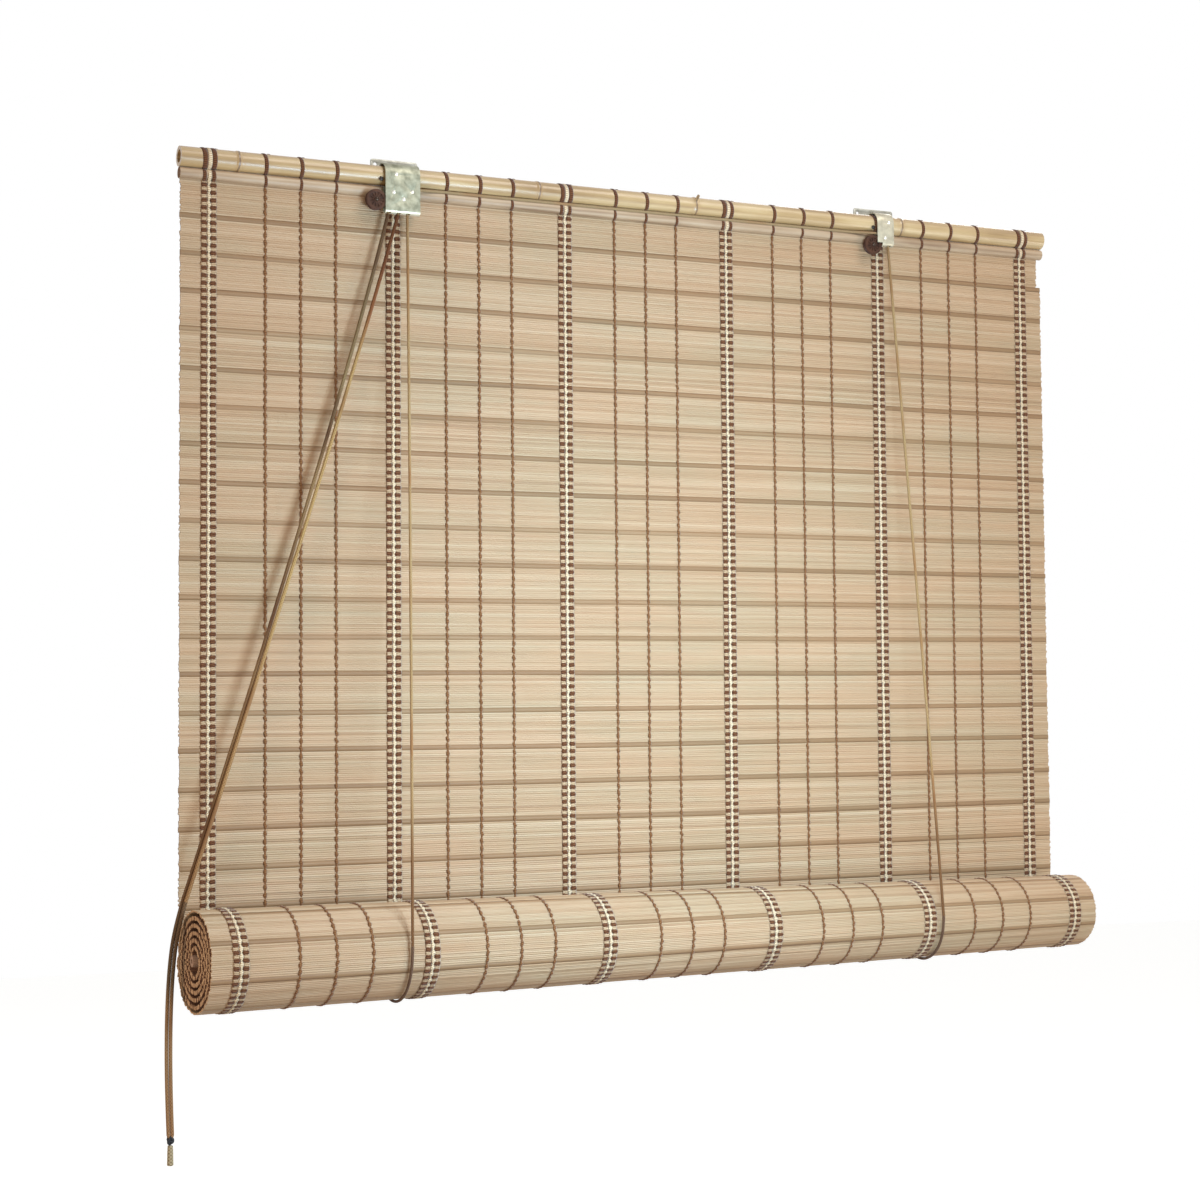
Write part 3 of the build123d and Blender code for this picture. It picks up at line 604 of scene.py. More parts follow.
def round_tube(line, radius, ring=10, across=(0.0, 1.0, 0.0)):
    """Rings round a line: side is the line's direction crossed with across, and each ring point
    is the line plus radius times (cos side + sin other). radius may be one number per point."""
    direction = np.gradient(line, axis=0)
    direction /= np.linalg.norm(direction, axis=1, keepdims=True)
    side = np.cross(direction, across)
    side /= np.linalg.norm(side, axis=1, keepdims=True)
    other = np.cross(direction, side)
    angle = np.linspace(0, 2 * np.pi, ring, endpoint=False)[None, :, None]
    radius = np.broadcast_to(np.asarray(radius, float), (len(line),))[:, None, None]
    return line[:, None] + radius * (np.cos(angle) * side[:, None] + np.sin(angle) * other[:, None])


# %% Pull cords
# Both leave the lock, meet a third of the way down, and run on together, taut, to the roll's end.

pull_a_upper = np.array([(-349.6, -12, -48.1), (-412, -17, -290), (-603, -28, -853)]) * mm
pull_b_upper = np.array([(-337, -12, -48.1), (-407.5, -18, -290), (-600.5, -32.5, -853)]) * mm


def taut_cord(name, route, node, finish, radius=cord_radius):
    """A taut cord: a tube along a smooth line through its route, on the headrail."""
    line = smooth_line(route, 24)
    piece = add_tubes(name, round_tube(line, radius)[None], [finish])
    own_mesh(piece)
    enter(piece, "headrail", "cord", node)


taut_cord("pull_cord_a", pull_a_upper, "pull_cord_a_upper", pull_a_finish, pull_radius)
taut_cord("pull_cord_b", pull_b_upper, "pull_cord_b_upper", pull_b_finish, pull_radius)

# %% Knot and bound tip
# The two tails end in an overhand knot. A knotted cord goes over and under itself like a
# trefoil, which is the curve (2 + cos 3t) times (cos 2t, sin 2t), with sin 3t as its depth.

knot_place = np.array([-616.9, -31.0, -1115.5]) * mm
knot_cord_radius = 1.85 * mm
knot_turn = np.linspace(0, 2 * np.pi, 97)
knot_out = 1.45 * mm + 0.85 * mm * np.cos(3 * knot_turn)
knot_line = knot_place + np.column_stack([
    1.2 * knot_out * np.cos(2 * knot_turn),
    1.1 * mm * np.sin(3 * knot_turn),
    1.65 * knot_out * np.sin(2 * knot_turn),
])
knot_rings = round_tube(knot_line, knot_cord_radius, across=(0.13, 0.95, 0.28))
knot = add_tubes("knot", knot_rings[None], [dark_cord])
enter(knot, "pull_end", "dark_knot", "pull_knot")


def turned_piece(name, centre, profile, finish, flutes, flute_depth):
    """A shape turned round a vertical axis: each profile point (radius, height) goes round in a
    circle. The radius swells and shrinks flutes times on the way, by the share flute_depth where
    the shape is widest and by less where it is slim."""
    angle = np.linspace(0, 2 * np.pi, 48, endpoint=False)
    radius, height = np.array(profile).T[:, :, None]
    out = radius * (1 + flute_depth * np.cos(flutes * angle) * (radius / radius.max()))
    points = np.broadcast_arrays(out * np.cos(angle), out * np.sin(angle), height)
    return add_tubes(name, (centre + np.stack(points, axis=-1))[None], [finish])


# Thread is wound round the tip's upper 10 mm. Below it the strands are fluted and spread.
tip_colours = (0.20, 0.14, 0.075), (0.52, 0.41, 0.25), (0.36, 0.26, 0.15)
tip_finish = cord_finish("bound_tip", *tip_colours, stain_share=0.4)
tip_height = np.linspace(0, -21.5, 44) * mm
tip_radius = np.interp(tip_height, np.array([-21.5, -9, 0]) * mm, np.array([3.5, 3.2, 2.8]) * mm)
thread = 0.16 * mm * np.abs(np.sin(tip_height / mm * 2.6)) * (tip_height > -10 * mm)
tip_profile = [*zip(tip_radius + thread, tip_height), (1.8 * mm, -22.3 * mm)]
tip_top = knot_place - np.array([0, 0, 5.7 * mm])
tip = turned_piece("tip", tip_top, tip_profile, tip_finish, 14, 0.05)
enter(tip, "pull_end", "bound_tip", "pull_tip")

# %% Tails
# The free ends of the two pull cords hang from the roll's end to the knot.

pull_a_tail = np.array([
    (-603, -28, -853), (-611, -29, -879), (-617, -29.5, -912), (-620.6, -30, -962),
    (-621.5, -30.2, -1020), (-620.4, -30.3, -1075), (-619, -30.6, -1109.7),
]) * mm
pull_b_tail = np.array([
    (-600.5, -32.5, -853), (-607.6, -32.6, -879), (-613.2, -32, -912), (-616.6, -31.9, -962),
    (-617.4, -32.1, -1020), (-616.4, -32, -1075), (-614.8, -31.5, -1109.7),
]) * mm


def hanging_tail(name, route, node):
    """The free end of a pull cord. It bends between the roll's carriage and the knot, and its
    last 3 mm go on into the knot."""
    line = smooth_line(route)
    inside_knot = (line[-1] + knot_place) / 2
    rings = round_tube(np.vstack([line, inside_knot]), pull_radius)
    piece = add_tubes(name, rings[None], [tail_finish])
    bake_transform(piece)
    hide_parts(node)


hanging_tail("tail_a", pull_a_tail, "pull_cord_a_tail")
hanging_tail("tail_b", pull_b_tail, "pull_cord_b_tail")

# %% [markdown]
# ## Where the mat goes
#
# One number, v, is the distance down the mat from its top edge. While the mat hangs, v is simply
# the height. Below the line where it meets the roll it winds round and round, so v becomes an
# angle and a radius. The roll is slimmer at the right end: every width has the same coil, drawn
# smaller. With these rules, reeds and yarns only have to say at which v and x they are.

# %% The coil

half_width = 0.600
mat_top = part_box("hanging_mat")[1][2]
mat_back = 1.5 * mm
coil_top = -855.5 * mm
roll_radius = 61.0 * mm
right_scale = 48.2 / 61.0
roll_turns = 6
outer_growth = 6.0 * mm
coil_start = 14.11 * mm
hanging_length = mat_top - (coil_top - roll_radius)

# Radius after each part of a turn, counted from the seam inwards, and the length wound so far.
# The first turn is the loosest, and the others lie evenly inside it.
coil_turn = np.linspace(0, roll_turns, 6001)
radius_stops = [roll_radius, roll_radius - outer_growth, coil_start]
coil_radius = np.interp(coil_turn, [0, 1, roll_turns], radius_stops)
steps = (coil_radius[1:] + coil_radius[:-1]) / 2 * np.diff(coil_turn)
coil_length = 2 * np.pi * np.concatenate([[0], np.cumsum(steps)])
wound_length = float(coil_length[-1])
print("hanging", round(hanging_length, 3), "m, wound", round(wound_length, 3), "m")


def scale_at(x):
    """How large the coil is at x: 1 at the left end, right_scale at the right end."""
    return 1 - (1 - right_scale) * (np.asarray(x) + half_width) / (2 * half_width)


def hanging_point(x, v, out):
    """A point of the hanging mat at distance v down, out metres towards the room.

    Its height goes from the top edge to the seam in proportion to v.
    """
    seam = coil_top - scale_at(x) * roll_radius
    z = mat_top + (v / hanging_length) * (seam - mat_top)
    return np.stack(np.broadcast_arrays(x, -out, z), axis=-1)


roll_askew = 3.3 * mm
askew_zero = 0.48


def wound_point(x, wound, out):
    """A point of the rolled mat after that much wound length, out metres outside its middle.

    The angle is minus one turn for each turn wound, measured from the back; the point is the
    coil's centre plus radius times (cos, sin), and the whole coil is scaled for its width. The
    mat is wound a little askew, with its front further right than its back: x grows by
    roll_askew times (askew_zero - the point's distance behind the roll's axis in roll radii).
    """
    turn = np.interp(wound, coil_length, coil_turn)
    radius = np.interp(turn, coil_turn, coil_radius) - mat_back + out / scale_at(x)
    angle = -2 * np.pi * turn
    y = mat_back - roll_radius + radius * np.cos(angle)
    z = coil_top - roll_radius + radius * np.sin(angle)
    x = x - roll_askew * (radius / roll_radius * np.cos(angle) - askew_zero)
    scale = scale_at(x)
    y = mat_back + scale * (y - mat_back)
    z = coil_top + scale * (z - coil_top)
    return np.stack(np.broadcast_arrays(x, y, z), axis=-1)


# %% [markdown]
# ## Reeds and slats
#
# The mat repeats every 44 mm: one wide slat, then sixteen round reeds. No two reeds are alike:
# each gets its own thickness, tone and length, and it waves a little. Neighbours wave together,
# because the yarn binds them, so most of the wave belongs to a pair of reeds and only a little
# to the single reed.

# %% List the reeds

unit_length = 44.1 * mm
slat_height = 5.6 * mm
reeds_in_unit = 16
reed_pitch = (unit_length - slat_height) / reeds_in_unit
reed_half_share = 0.66  # Above a half, so that neighbours overlap and no light comes through.
slat_overlap = 0.7 * mm
pair_length = unit_length / 10
first_slat = -slat_height
slat_thick = 1.28 * mm
calm_length = 60.0 * mm  # How far below the stick the mat is held straight by it.
chance = np.random.default_rng(12)


def list_reeds(total):
    """Centre along v, half height, and whether it is a slat, for each reed of the whole mat.

    The first slat would lie behind the stick, so one reed takes its place: its top is inside the
    stick, and it closes the gap below it.
    """
    reeds = slat_height + reed_pitch * (np.arange(reeds_in_unit) + 0.5)
    centres = np.concatenate([[slat_height / 2], reeds])
    reed_halves = np.full(reeds_in_unit, reed_half_share * reed_pitch)
    halves = np.concatenate([[slat_height / 2 + slat_overlap], reed_halves])
    units = int(np.ceil((total - first_slat) / unit_length))
    start = first_slat + np.arange(units)[:, None] * unit_length
    slats = np.tile(np.arange(reeds_in_unit + 1) == 0, units)
    v, halves = (start + centres).ravel(), np.tile(halves, units)
    v[0], halves[0], slats[0] = -0.5 * reed_pitch, halves[1], False
    return v, halves, slats


reed_v, reed_half, is_slat = list_reeds(hanging_length + wound_length)
reed_half = reed_half * np.where(is_slat, 1.0, chance.uniform(0.96, 1.10, len(reed_v)))
reed_thick = np.where(is_slat, slat_thick, chance.uniform(1.0, 1.35, len(reed_v)) * mm)
slat_tone = chance.normal(0.44, 0.07, len(reed_v))
reed_tone = np.where(is_slat, slat_tone, chance.normal(0.60, 0.075, len(reed_v)))
reed_pair = (reed_v / pair_length).astype(int)
print(len(reed_v), "reeds and slats,", int(is_slat.sum()), "of them slats")


def waves(count, x, size, seed, most=16.0):
    """A slow wave along x for each of count reeds: three sines with phases and wave numbers of
    their own, from 2 to most radians per metre, with a sum that stays within size."""
    own = np.random.default_rng(seed)
    number = own.uniform(2.0, most, (3, count, 1))
    phase = own.uniform(0, 2 * np.pi, (3, count, 1))
    return size / 3 * np.sin(number * x[None] + phase).sum(axis=0)


def reed_grid(picked, stations, place):
    """Tubes for the picked reeds. place(x, v, out) puts a point of the mat in space.

    A reed's section has six points: round for a reed, and flat in front for a slat. The waves
    move it along v and out, and its two ends stop where its own length ends. The top reeds stop
    6 mm short at the right. Whole units wave most, about 1 mm but less near the stick, and a reed
    between two slats takes its share of the waves of both.
    """
    v = reed_v[picked][:, None]
    pair = reed_pair[picked]
    left = -half_width + chance.uniform(-0.3, 1.3, len(v)) * mm
    right = half_width - chance.uniform(-0.3, 1.3, len(v)) * mm
    first_unit = reed_v[picked] < first_slat + unit_length
    right = np.where(first_unit, right - chance.uniform(5.0, 6.3, len(v)) * mm, right)
    x = left[:, None] + (right - left)[:, None] * np.linspace(0, 1, stations)[None]
    row, pairs, reeds = x[:1], int(reed_pair.max()) + 1, len(reed_v)
    v_wave = waves(pairs, row, 0.20 * mm, 5)[pair] + waves(reeds, row, 0.13 * mm, 6)[picked]
    out_wave = waves(pairs, row, 0.30 * mm, 7)[pair] + waves(reeds, row, 0.22 * mm, 8)[picked]
    slow = waves(int(reed_v.max() / unit_length) + 3, row, 1.3 * mm, 9, 8.0)
    unit, share = np.divmod((v - first_slat) / unit_length, 1.0)
    unit = unit[:, 0].astype(int)
    slow = slow[unit] * (1 - share) + slow[unit + 1] * share
    v_wave = v_wave + slow * np.minimum(1, v / calm_length)
    angle = np.radians(np.arange(6) * 60.0)
    round_v, round_out = np.sin(angle), np.cos(angle)
    flat_v = np.array([0.0, 0.86, 0.86, 0.0, -0.86, -0.86])
    flat_out = np.array([1.0, 0.82, -0.82, -1.0, -0.82, 0.82])
    slat = is_slat[picked][:, None]
    ring_v = np.where(slat, flat_v, round_v) * reed_half[picked][:, None]
    ring_out = np.where(slat, flat_out, round_out) * reed_thick[picked][:, None]
    all_v = (v + v_wave)[:, :, None] + ring_v[:, None, :]
    all_out = out_wave[:, :, None] + ring_out[:, None, :]
    return place(*np.broadcast_arrays(x[:, :, None], all_v, all_out))


def lay_reeds(name, picked, stations, place, finishes):
    """One piece of the picked reeds."""
    return add_tubes(name, reed_grid(picked, stations, place), finishes, reed_tone[picked])


def lay_mat(part, picked, place, cut):
    """A part of the mat in two pieces: its reeds, and its slats, which bend more finely."""
    slat = is_slat[picked]
    return [
        lay_reeds(f"{part}_reeds", picked[~slat], 27, place, [reed, cut]),
        lay_reeds(f"{part}_slats", picked[slat], 41, place, [slat_wood, cut]),
    ]


# %% Hanging mat
hanging = np.flatnonzero(reed_v + reed_half < hanging_length)
for piece in lay_mat("mat", hanging, hanging_point, cut_end):
    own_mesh(piece)
    enter(piece, "headrail", "reed", "hanging_mat")

# %% [markdown]
# ### The roll
#
# The same list of reeds goes on round the coil. The outer turn shows all along, so its reeds
# wave like those above. The inner turns show only at the two ends, so there a reed needs no
# stations between its ends. At the ends the turns look thick and loose, as reeds there
# stand a little in and out.

# %% Rolled mat


def rolled_place(x, v, out):
    """The place on the coil of a point at distance v down the whole mat."""
    return wound_point(x, v - hanging_length, out)


outer_turns = 1.12
inside_thicker, inside_wider = 2.1, 1.1
outer_end = hanging_length + float(np.interp(outer_turns, coil_turn, coil_length))
rolled = np.flatnonzero(reed_v + reed_half >= hanging_length)
rolled = rolled[reed_v[rolled] < hanging_length + wound_length - 2 * mm]
inside = rolled[reed_v[rolled] > outer_end]
reed_thick[inside] *= inside_thicker
reed_half[inside] *= inside_wider
outside = rolled[reed_v[rolled] <= outer_end]
roll_pieces = lay_mat("roll", outside, rolled_place, roll_cut_end)
# The inner turns take the darker reed finish, which is painted shade.
roll_pieces += [lay_reeds("roll_inside", inside, 2, rolled_place, [shaded_inner_reed, roll_cut_end])]
for piece in roll_pieces:
    enter(piece, "roll", "reed", "rolled_mat")

# %% [markdown]
# ## Yarn
#
# Six double bands and fifteen single yarns hold the reeds. A band has two columns of brown
# stitches on a cream ground, five stitches for each slat. A stitch rises over a few reeds and
# dives between them, so a column is one tube whose height rises and falls. A single yarn does
# the same with one strand, so it shows as a string of small beads.

# %% Stitch pattern

band_count, singles_between = 6, 3
band_spacing = 226.4 * mm
first_single, single_spacing = 68.0 * mm, 43.3 * mm
column_offset = 5.5 * mm
band_places = (np.arange(band_count) - (band_count - 1) / 2) * band_spacing
single_steps = first_single + single_spacing * np.arange(singles_between)
single_places = (band_places[:-1, None] + single_steps).ravel()
column_places = (band_places[:, None] + np.array([-column_offset, column_offset])).ravel()
stitch = unit_length / 5
surface = 1.25 * mm

# The stations of one stitch, in four rows: where they are along it (as a share), how high (mm),
# how wide (as a share) and how far aside (mm).
brown_stitch = np.array([
    [0.12, 0.19, 0.32, 0.50, 0.68, 0.81, 0.88],
    [-1.3, -0.1, 0.55, 0.74, 0.55, -0.1, -1.3],
    [0.60, 0.80, 0.97, 1.02, 0.97, 0.80, 0.60],
    [0, 0, 0, 0, 0, 0, 0],
])
cream_ground = np.array([[0.0, 0.33, 0.67], [0.30, 0.02, 0.02], [1.0, 0.9, 0.9], [0, 0, 0]])
cream_middle = np.array([
    [0.0, 0.19, 0.5, 0.81],
    [1.05, 0.65, -0.25, 0.65],
    [1.35, 1.12, 0.45, 1.12],
    [0.0, 0.25, 0.0, -0.25],
])
single_bead = np.array([
    [0.02, 0.16, 0.34, 0.54, 0.74, 0.90],
    [-0.45, -0.10, 0.55, 0.75, 0.50, -0.10],
    [0.60, 0.74, 1.0, 1.06, 0.98, 0.70],
    [0.0, -0.15, -0.25, 0.05, 0.28, 0.12],
])
# Points round a yarn's section: share of half its width, share of its thickness.
double_ring = [
    (-1.0, -0.1), (-0.74, 0.72), (-0.36, 0.95), (0.0, 0.62),
    (0.36, 0.95), (0.74, 0.72), (1.0, -0.1), (0.0, -0.9),
]
flat_ring = [(-1.0, 0.0), (-0.55, 0.8), (0.0, 1.0), (0.55, 0.8), (1.0, 0.0), (0.0, -0.8)]


def yarn_grid(places, pattern, length, half_across, thickness, ring, place):
    """Yarns that run down the mat at those places, repeating a pattern every stitch.

    Each station is at v = (number + at) * stitch. A ring point stands out from the mat by
    surface + high + its own height, and across from the yarn's place by its own share of
    half_across plus aside. Each station also strays sideways by about a quarter of a millimetre.
    """
    count = int(length / stitch)
    at, high, wide, aside = np.tile(pattern, count)[:, None, :, None]
    number = np.repeat(np.arange(count), pattern.shape[1])[None, :, None]
    v = (number + at) * stitch
    across, outwards = np.array(ring).T
    own = np.random.default_rng(len(places))
    stray = 0.25 * mm * own.standard_normal((len(places), v.shape[1], 1))
    x = places[:, None, None] + aside * mm + half_across * wide * across + stray
    out = surface + high * mm + thickness * outwards
    return place(*np.broadcast_arrays(x, v, out))


def back_point(x, v, out):
    """A point behind the hanging mat, out metres towards the wall from its middle."""
    return hanging_point(x, v, -out)


yarn_turns = 1.02
roll_shown = float(np.interp(yarn_turns, coil_turn, coil_length))
faces = [
    ("front", hanging_point, hanging_length - 4 * mm, "headrail", "hanging"),
    ("back", back_point, hanging_length, "headrail", "hanging"),
    ("roll", wound_point, roll_shown, "roll", "rolled"),
]

band_nodes = [f"band_{number}" for number in range(1, band_count + 1)]
thread_nodes = [f"threads_{number}" for number in range(1, band_count)]
# Each kind of yarn: its name, places, stitch, the stations that it needs at the back, half its
# width and its thickness in millimetres, and its section.
yarn_kinds = [
    ("brown_stitches", column_places, brown_stitch, [0, 2, 3, 4, 6], 3.7, 0.75, double_ring),
    ("cream_ground", column_places, cream_ground, [0, 1], 4.0, 0.55, flat_ring),
    ("cream_middle", band_places, cream_middle, [0, 2], 1.9, 0.65, flat_ring),
    ("single_yarns", single_places, single_bead, [0, 3], 1.95, 0.65, flat_ring),
]
yarn_finishes = [brown_yarn, shaded_cream_yarn, cream_yarn, single_yarn]
yarn_nodes = [band_nodes, band_nodes, band_nodes, thread_nodes]
for yarn, finish, nodes in zip(yarn_kinds, yarn_finishes, yarn_nodes):
    kind, places, pattern, main, half_across, thickness, ring = yarn
    for face, place, length, body, state in faces:
        shape, section = (pattern[:, main], flat_ring) if face == "back" else (pattern, ring)
        size = (half_across * mm, thickness * mm)
        grid = yarn_grid(places, shape, length, *size, section, place)
        piece = add_tubes(f"{face}_{kind}", grid, [finish])
        if body == "headrail":
            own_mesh(piece)
        enter(piece, body, "brown_warp", *(f"{state}_{node}" for node in nodes))

# %% [markdown]
# ### Wraps round the pole
#
# At the top each yarn goes round the pole and round the stick below it, a little more than once
# and a little aslant, so its ends overlap behind. That is a short helix: the angle goes round
# while x moves on.

# %% Wraps


def wraps(places, radius, centre_z, half_across, thickness, slants):
    """A yarn wound 1.1 turns round a round bar at each place. The angle runs from the back over
    the top, and x goes from minus to plus half the slant."""
    turns, start = 1.1, np.radians(60.0)
    share = np.linspace(0, 1, 44)[None, :, None]
    angle = start + share * turns * 2 * np.pi
    across, outwards = np.array(flat_ring).T
    out = radius + thickness * (0.35 + 0.65 * outwards)
    x = places[:, None, None] + slants[:, None, None] * (share - 0.5) + half_across * across
    y, z = out * np.cos(angle), centre_z + out * np.sin(angle)
    return np.stack(np.broadcast_arrays(x, y, z), axis=-1)


pole_radius = 12.0 * mm
batten_z = -19.7 * mm
stick_radius = 6.9 * mm
single_slants = chance.uniform(5.0, 8.5, len(single_places)) * mm
column_slants = chance.uniform(4.0, 9.0, len(column_places)) * mm
middle_slants = chance.uniform(3.0, 7.0, len(band_places)) * mm
# On the thin stick the same yarn is pulled tighter: narrower, flatter and less aslant.
for name, places, half_across, slants, finish, node in (
    ("single_wraps", single_places, 2.4 * mm, single_slants, brown_yarn, "pole_thread_wraps"),
    ("brown_wraps", column_places, 2.9 * mm, column_slants, brown_yarn, "pole_band_wraps"),
    ("cream_wraps", band_places, 2.6 * mm, middle_slants, cream_yarn, "pole_band_wraps"),
):
    on_pole = wraps(places, pole_radius, 0.0, half_across, 0.8 * mm, slants)
    on_batten = wraps(places, stick_radius, batten_z, 0.8 * half_across, 0.55 * mm, 0.4 * slants)
    piece = add_tubes(name, np.concatenate([on_pole, on_batten]), [finish])
    enter(piece, "headrail", "brown_warp", node)

# %% [markdown]
# ### The stick under the pole
#
# A grown stick is never quite round or straight. Its radius swells and shrinks by a few tenths of
# a millimetre, and it leans on the pole, so that no light comes between them.

# %% Stick under the pole
stick_half_length = 601.0 * mm
stick_rise = 0.45 * mm
stick_x = np.linspace(-stick_half_length, stick_half_length, 121)
swell = waves(1, stick_x, 0.25 * mm, 21)[0] + waves(1, stick_x * 3, 0.12 * mm, 22)[0]
stick_z = batten_z + stick_rise - swell
stick_line = np.column_stack([stick_x, waves(1, stick_x, 0.3 * mm, 23)[0], stick_z])
stick_rings = round_tube(stick_line, stick_radius + swell, 28)
under_stick = add_tubes("under_stick", stick_rings[None], [stick, cut_end])
enter(under_stick, "headrail", "pale_stick", "batten")

# %% [markdown]
# ## Lift cords
#
# A lift cord is three pieces in one line: down the front, under the roll, and up the back. The
# stretch under the roll rides up with it; the other two grow shorter. The two at the front are
# the ones the photograph shows. A taut cord is a straight line, so it needs no more than a middle
# point a hair off the line, where the cord hangs a little slack.

# %% Lift cords

roll_clearance = 0.4 * mm
pole_clearance = 0.3 * mm
pressed_in = 1.2 * mm
slack = np.array([1.2, -0.5, 0.0]) * mm


def lift_cord(side, front_top, cradle_x, tack_x):
    """One lift cord from its bracket to its tack.

    The cord under the roll is an arc round the coil's centre; the taut stretches touch that arc,
    at the angle of the line to their upper end plus or minus arccos(radius / distance). Between
    its ends the arc sinks into the soft mat by pressed_in.
    """
    scale = float(scale_at(cradle_x))
    centre = np.array([mat_back - scale * roll_radius, coil_top - scale * roll_radius])
    radius = scale * roll_radius + roll_clearance + cord_radius
    back_top = np.array([tack_x, pole_radius + cord_radius + pole_clearance, 0.0])

    def touch(point, side_sign):
        away = np.array(point[1:]) - centre
        return np.arctan2(away[1], away[0]) + side_sign * np.arccos(radius / np.hypot(*away))

    front_turn, back_turn = touch(front_top, 1), touch(back_top, -1)

    def on_roll(turn):
        flat = centre + radius * np.stack([np.cos(turn), np.sin(turn)], axis=-1)
        return np.column_stack([np.full(len(flat), cradle_x), flat])

    front_low, back_low = on_roll(np.array([front_turn, back_turn]))
    front_route = np.array([front_top, (np.array(front_top) + front_low) / 2 + slack, front_low])
    back_route = np.array([back_top, (back_top + back_low) / 2 + slack, back_low])
    taut_cord(f"{side}_front", front_route, f"{side}_lift_cord_front", front_finish)
    taut_cord(f"{side}_back", back_route, f"{side}_lift_cord_back", lift_finish)
    share = np.linspace(0, 1, 49)
    arc = on_roll(front_turn + share * (back_turn + 2 * np.pi - front_turn))
    nearer = pressed_in / radius * np.minimum(1, 5 * np.sin(np.pi * share))[:, None]
    arc[:, 1:] += nearer * (centre - arc[:, 1:])
    rings = round_tube(arc, cord_radius, across=(1.0, 0.0, 0.0))
    # The loop's dark finish is painted shade under the roll.
    loop = add_tubes(f"{side}_loop", rings[None], [loop_shade_finish])
    enter(loop, "lift_carriage", "cord", f"{side}_lift_cord_loop")


lift_cord("left", (-0.325, -0.012, -0.0481), -0.3617, -0.369)
lift_cord("right", (0.350, -0.012, -0.0311), 0.361, 0.3815)

# %% [markdown]
# ## Pieces kept from the construction model
#
# The pole, the rod, the brackets, wheels and fasteners already have their true shape there, so
# they keep it and get a finish. Sheet edges and wheel rims are never knife sharp: a copy of each
# gets its loose triangles joined and its edges rounded by a small bevel, so that they catch light.

# %% Finishes on carried pieces


def dress(node_name, finish):
    """Gives a carried node its finish."""
    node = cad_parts[node_name]
    node.data.materials.clear()
    node.data.materials.append(finish)


def rounded_copy(node_name, body, finish, slot, width):
    """A copy of a node with its triangles merged and its sharp edges bevelled."""
    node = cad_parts[node_name]
    piece = bpy.data.objects.new(f"{node_name}_rounded", node.data.copy())
    bpy.context.collection.objects.link(piece)
    piece.data.materials.clear()
    piece.data.materials.append(finish)
    set_all(piece.modifiers.new("weld", "WELD"), merge_threshold=0.01 * mm)
    flat = piece.modifiers.new("flat", "DECIMATE")
    set_all(flat, decimate_type="DISSOLVE", angle_limit=0.01)
    bevel = piece.modifiers.new("bevel", "BEVEL")
    set_all(bevel, width=width, segments=2, limit_method="ANGLE", angle_limit=0.6)
    bpy.context.view_layer.update()
    depsgraph = bpy.context.evaluated_depsgraph_get()
    finished = bpy.data.meshes.new_from_object(piece.evaluated_get(depsgraph))
    piece.modifiers.clear()
    piece.data = finished
    piece.data.polygons.foreach_set("use_smooth", np.ones(len(finished.polygons), bool))
    piece.data.set_sharp_from_angle(angle=0.7)
    enter(piece, body, slot, node_name)
    print(piece.name, len(finished.vertices), "points")


for name, finish in (
    ("top_pole", cane),
    ("bottom_rod", rod_wood),
    ("lock_sheave_a", brown_plastic),
    ("lock_sheave_b", brown_plastic),
    ("guide_sheave", brown_plastic),
    ("axles", axle_steel),
    ("bracket_nails", bright_steel),
    ("stop_nails", dark_steel),
    ("cord_tacks", dark_steel),
    ("left_cord_in_lock", lift_finish),
    ("crossing_cord", lift_finish),
):
    dress(name, finish)

for name, body, finish, slot, width in (
    ("lock_bracket", "headrail", plated, "plated_sheet", 0.25 * mm),
    ("guide_bracket", "headrail", pale_plated, "plated_sheet", 0.25 * mm),
    ("lock_hanger", "headrail", grey_sheet, "grey_sheet", 0.25 * mm),
    ("guide_hanger", "headrail", grey_sheet, "grey_sheet", 0.25 * mm),
    ("lock_wheel", "wheel_a", brown_plastic, "brown_plastic", 0.2 * mm),
    ("guide_wheel", "wheel_b", brown_plastic, "brown_plastic", 0.2 * mm),
):
    rounded_copy(name, body, finish, slot, width)

# %% [markdown]
# ## Room and light
#
# The blind is shown against white. White comes from the floor and the world as the camera
# sees them, and not from stronger lamps, so the blind's own colours stay right. One large soft
# lamp stands in front and above, and a weaker, cooler one low down brightens the middle of the
# mat. Two warm ones at the sides light the end of the roll and its far half, and the last one
# lights the back. To all other rays the floor is a duller grey, so little light comes back from
# below and round things stay round.

# %% Floor and world


def add_shader(tree, kind, *inputs):
    """A node that mixes or adds shaders, from its inputs in order."""
    return add_node(tree, kind, dict(enumerate(inputs))).outputs[0]


def white_to_camera(tree, real, surface_socket, white):
    """Shows plain white to the camera, to reflections and through glass, and the real surface to
    all other rays."""
    path = add_node(tree, "LightPath")
    seen = maths(tree, "MAXIMUM", path.outputs["Is Camera Ray"], path.outputs["Is Glossy Ray"])
    seen = maths(tree, "MAXIMUM", seen, path.outputs["Is Transmission Ray"])
    tree.links.new(add_shader(tree, "MixShader", seen, real, white), surface_socket)


pure_white = (1.0, 1.0, 1.0, 1.0)
world_strength = 0.36
world = bpy.data.worlds.new("studio")
bpy.context.scene.world = world
world.use_nodes = True
tree = world.node_tree
soft = tree.nodes["Background"]
soft.inputs["Color"].default_value = (1.0, 0.985, 0.96, 1.0)
soft.inputs["Strength"].default_value = world_strength
plain = add_node(tree, "Background", {"Color": pure_white, "Strength": 1.0})
world_socket = tree.nodes["World Output"].inputs["Surface"]
white_to_camera(tree, soft.outputs[0], world_socket, plain.outputs[0])

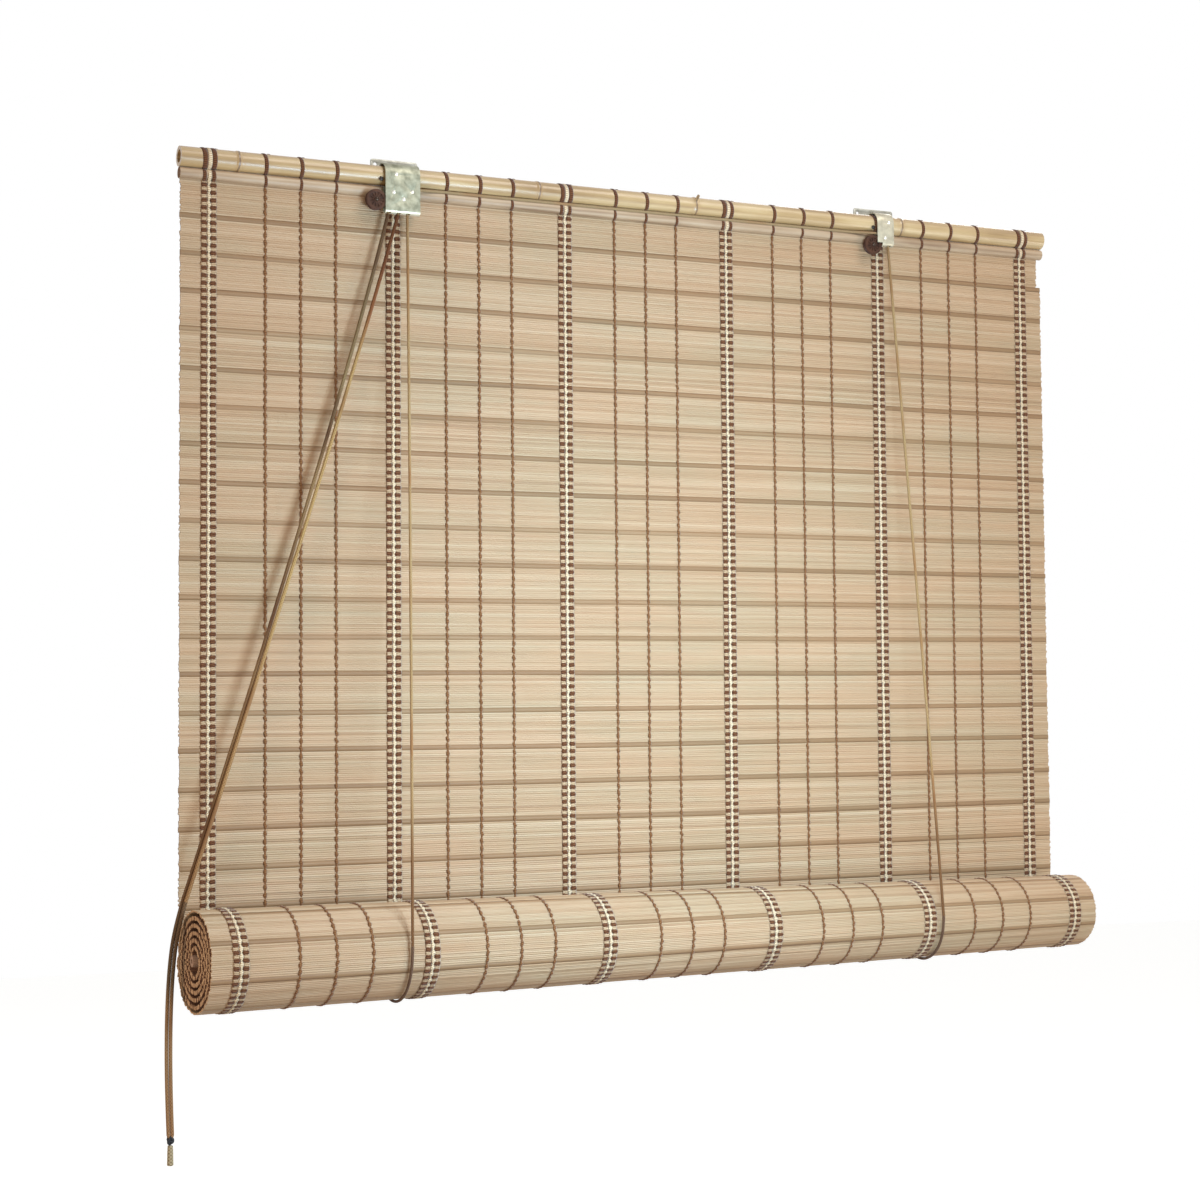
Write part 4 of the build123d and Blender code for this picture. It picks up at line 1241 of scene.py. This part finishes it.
floor_z = -1.5
floor_size = 6.0
floor_glow = 0.68
floor_corners = np.array([(-1, -1, 0), (1, -1, 0), (1, 1, 0), (-1, 1, 0)])
floor_points = floor_corners * floor_size + (0, 0, floor_z)
floor_finish, tree, shader = new_finish("floor", 0.9, 0.1)
pale = add_node(tree, "TexNoise", {"Scale": 0.6}).outputs["Fac"]
tints = ramp(tree, pale, [(0.3, (0.74, 0.74, 0.73)), (0.7, (0.78, 0.78, 0.77))])
finish_with(tree, shader, tints)
glow = add_node(tree, "Emission", {"Color": pure_white, "Strength": floor_glow})
bright = add_shader(tree, "AddShader", shader.outputs[0], glow.outputs[0])
dull = add_node(tree, "BsdfDiffuse", {"Color": (0.50, 0.48, 0.46, 1.0)})
floor_socket = tree.nodes["Material Output"].inputs["Surface"]
white_to_camera(tree, dull.outputs[0], floor_socket, bright)
floor = add_mesh("floor", floor_points, [np.array([[0, 1, 2, 3]])], [floor_finish])


def add_lamp(name, place, target, size, power, colour):
    """A square area lamp at place that faces target."""
    data = bpy.data.lights.new(name, "AREA")
    set_all(data, shape="SQUARE", size=size, energy=power, color=colour)
    lamp = set_all(bpy.data.objects.new(name, data), visible_camera=False)
    towards = np.subtract(target, place)
    towards /= np.linalg.norm(towards)
    side = np.cross(towards, (0.0, 0.0, 1.0))
    stand(lamp, side / np.linalg.norm(side), -towards, place)


add_lamp("key", (0.9, -2.0, 2.1), (0.25, 0.0, -0.4), 1.4, 42.0, (1.0, 0.96, 0.92))
add_lamp("low", (-0.02, -0.85, -0.55), (-0.03, 0.0, -0.58), 0.45, 12.5, (0.53, 0.78, 1.0))
add_lamp("side", (-2.2, -0.9, -0.8), (-0.6, -0.06, -0.92), 0.6, 10.5, (1.0, 0.82, 0.63))
add_lamp("right", (1.7, -1.5, -1.3), (0.48, -0.05, -0.75), 0.8, 14.0, (1.0, 0.93, 0.84))
add_lamp("rim", (1.8, 1.4, 0.9), (0.0, 0.0, -0.5), 1.2, 16.0, (1.0, 1.0, 1.0))
bpy.context.scene.view_settings.view_transform = "Standard"
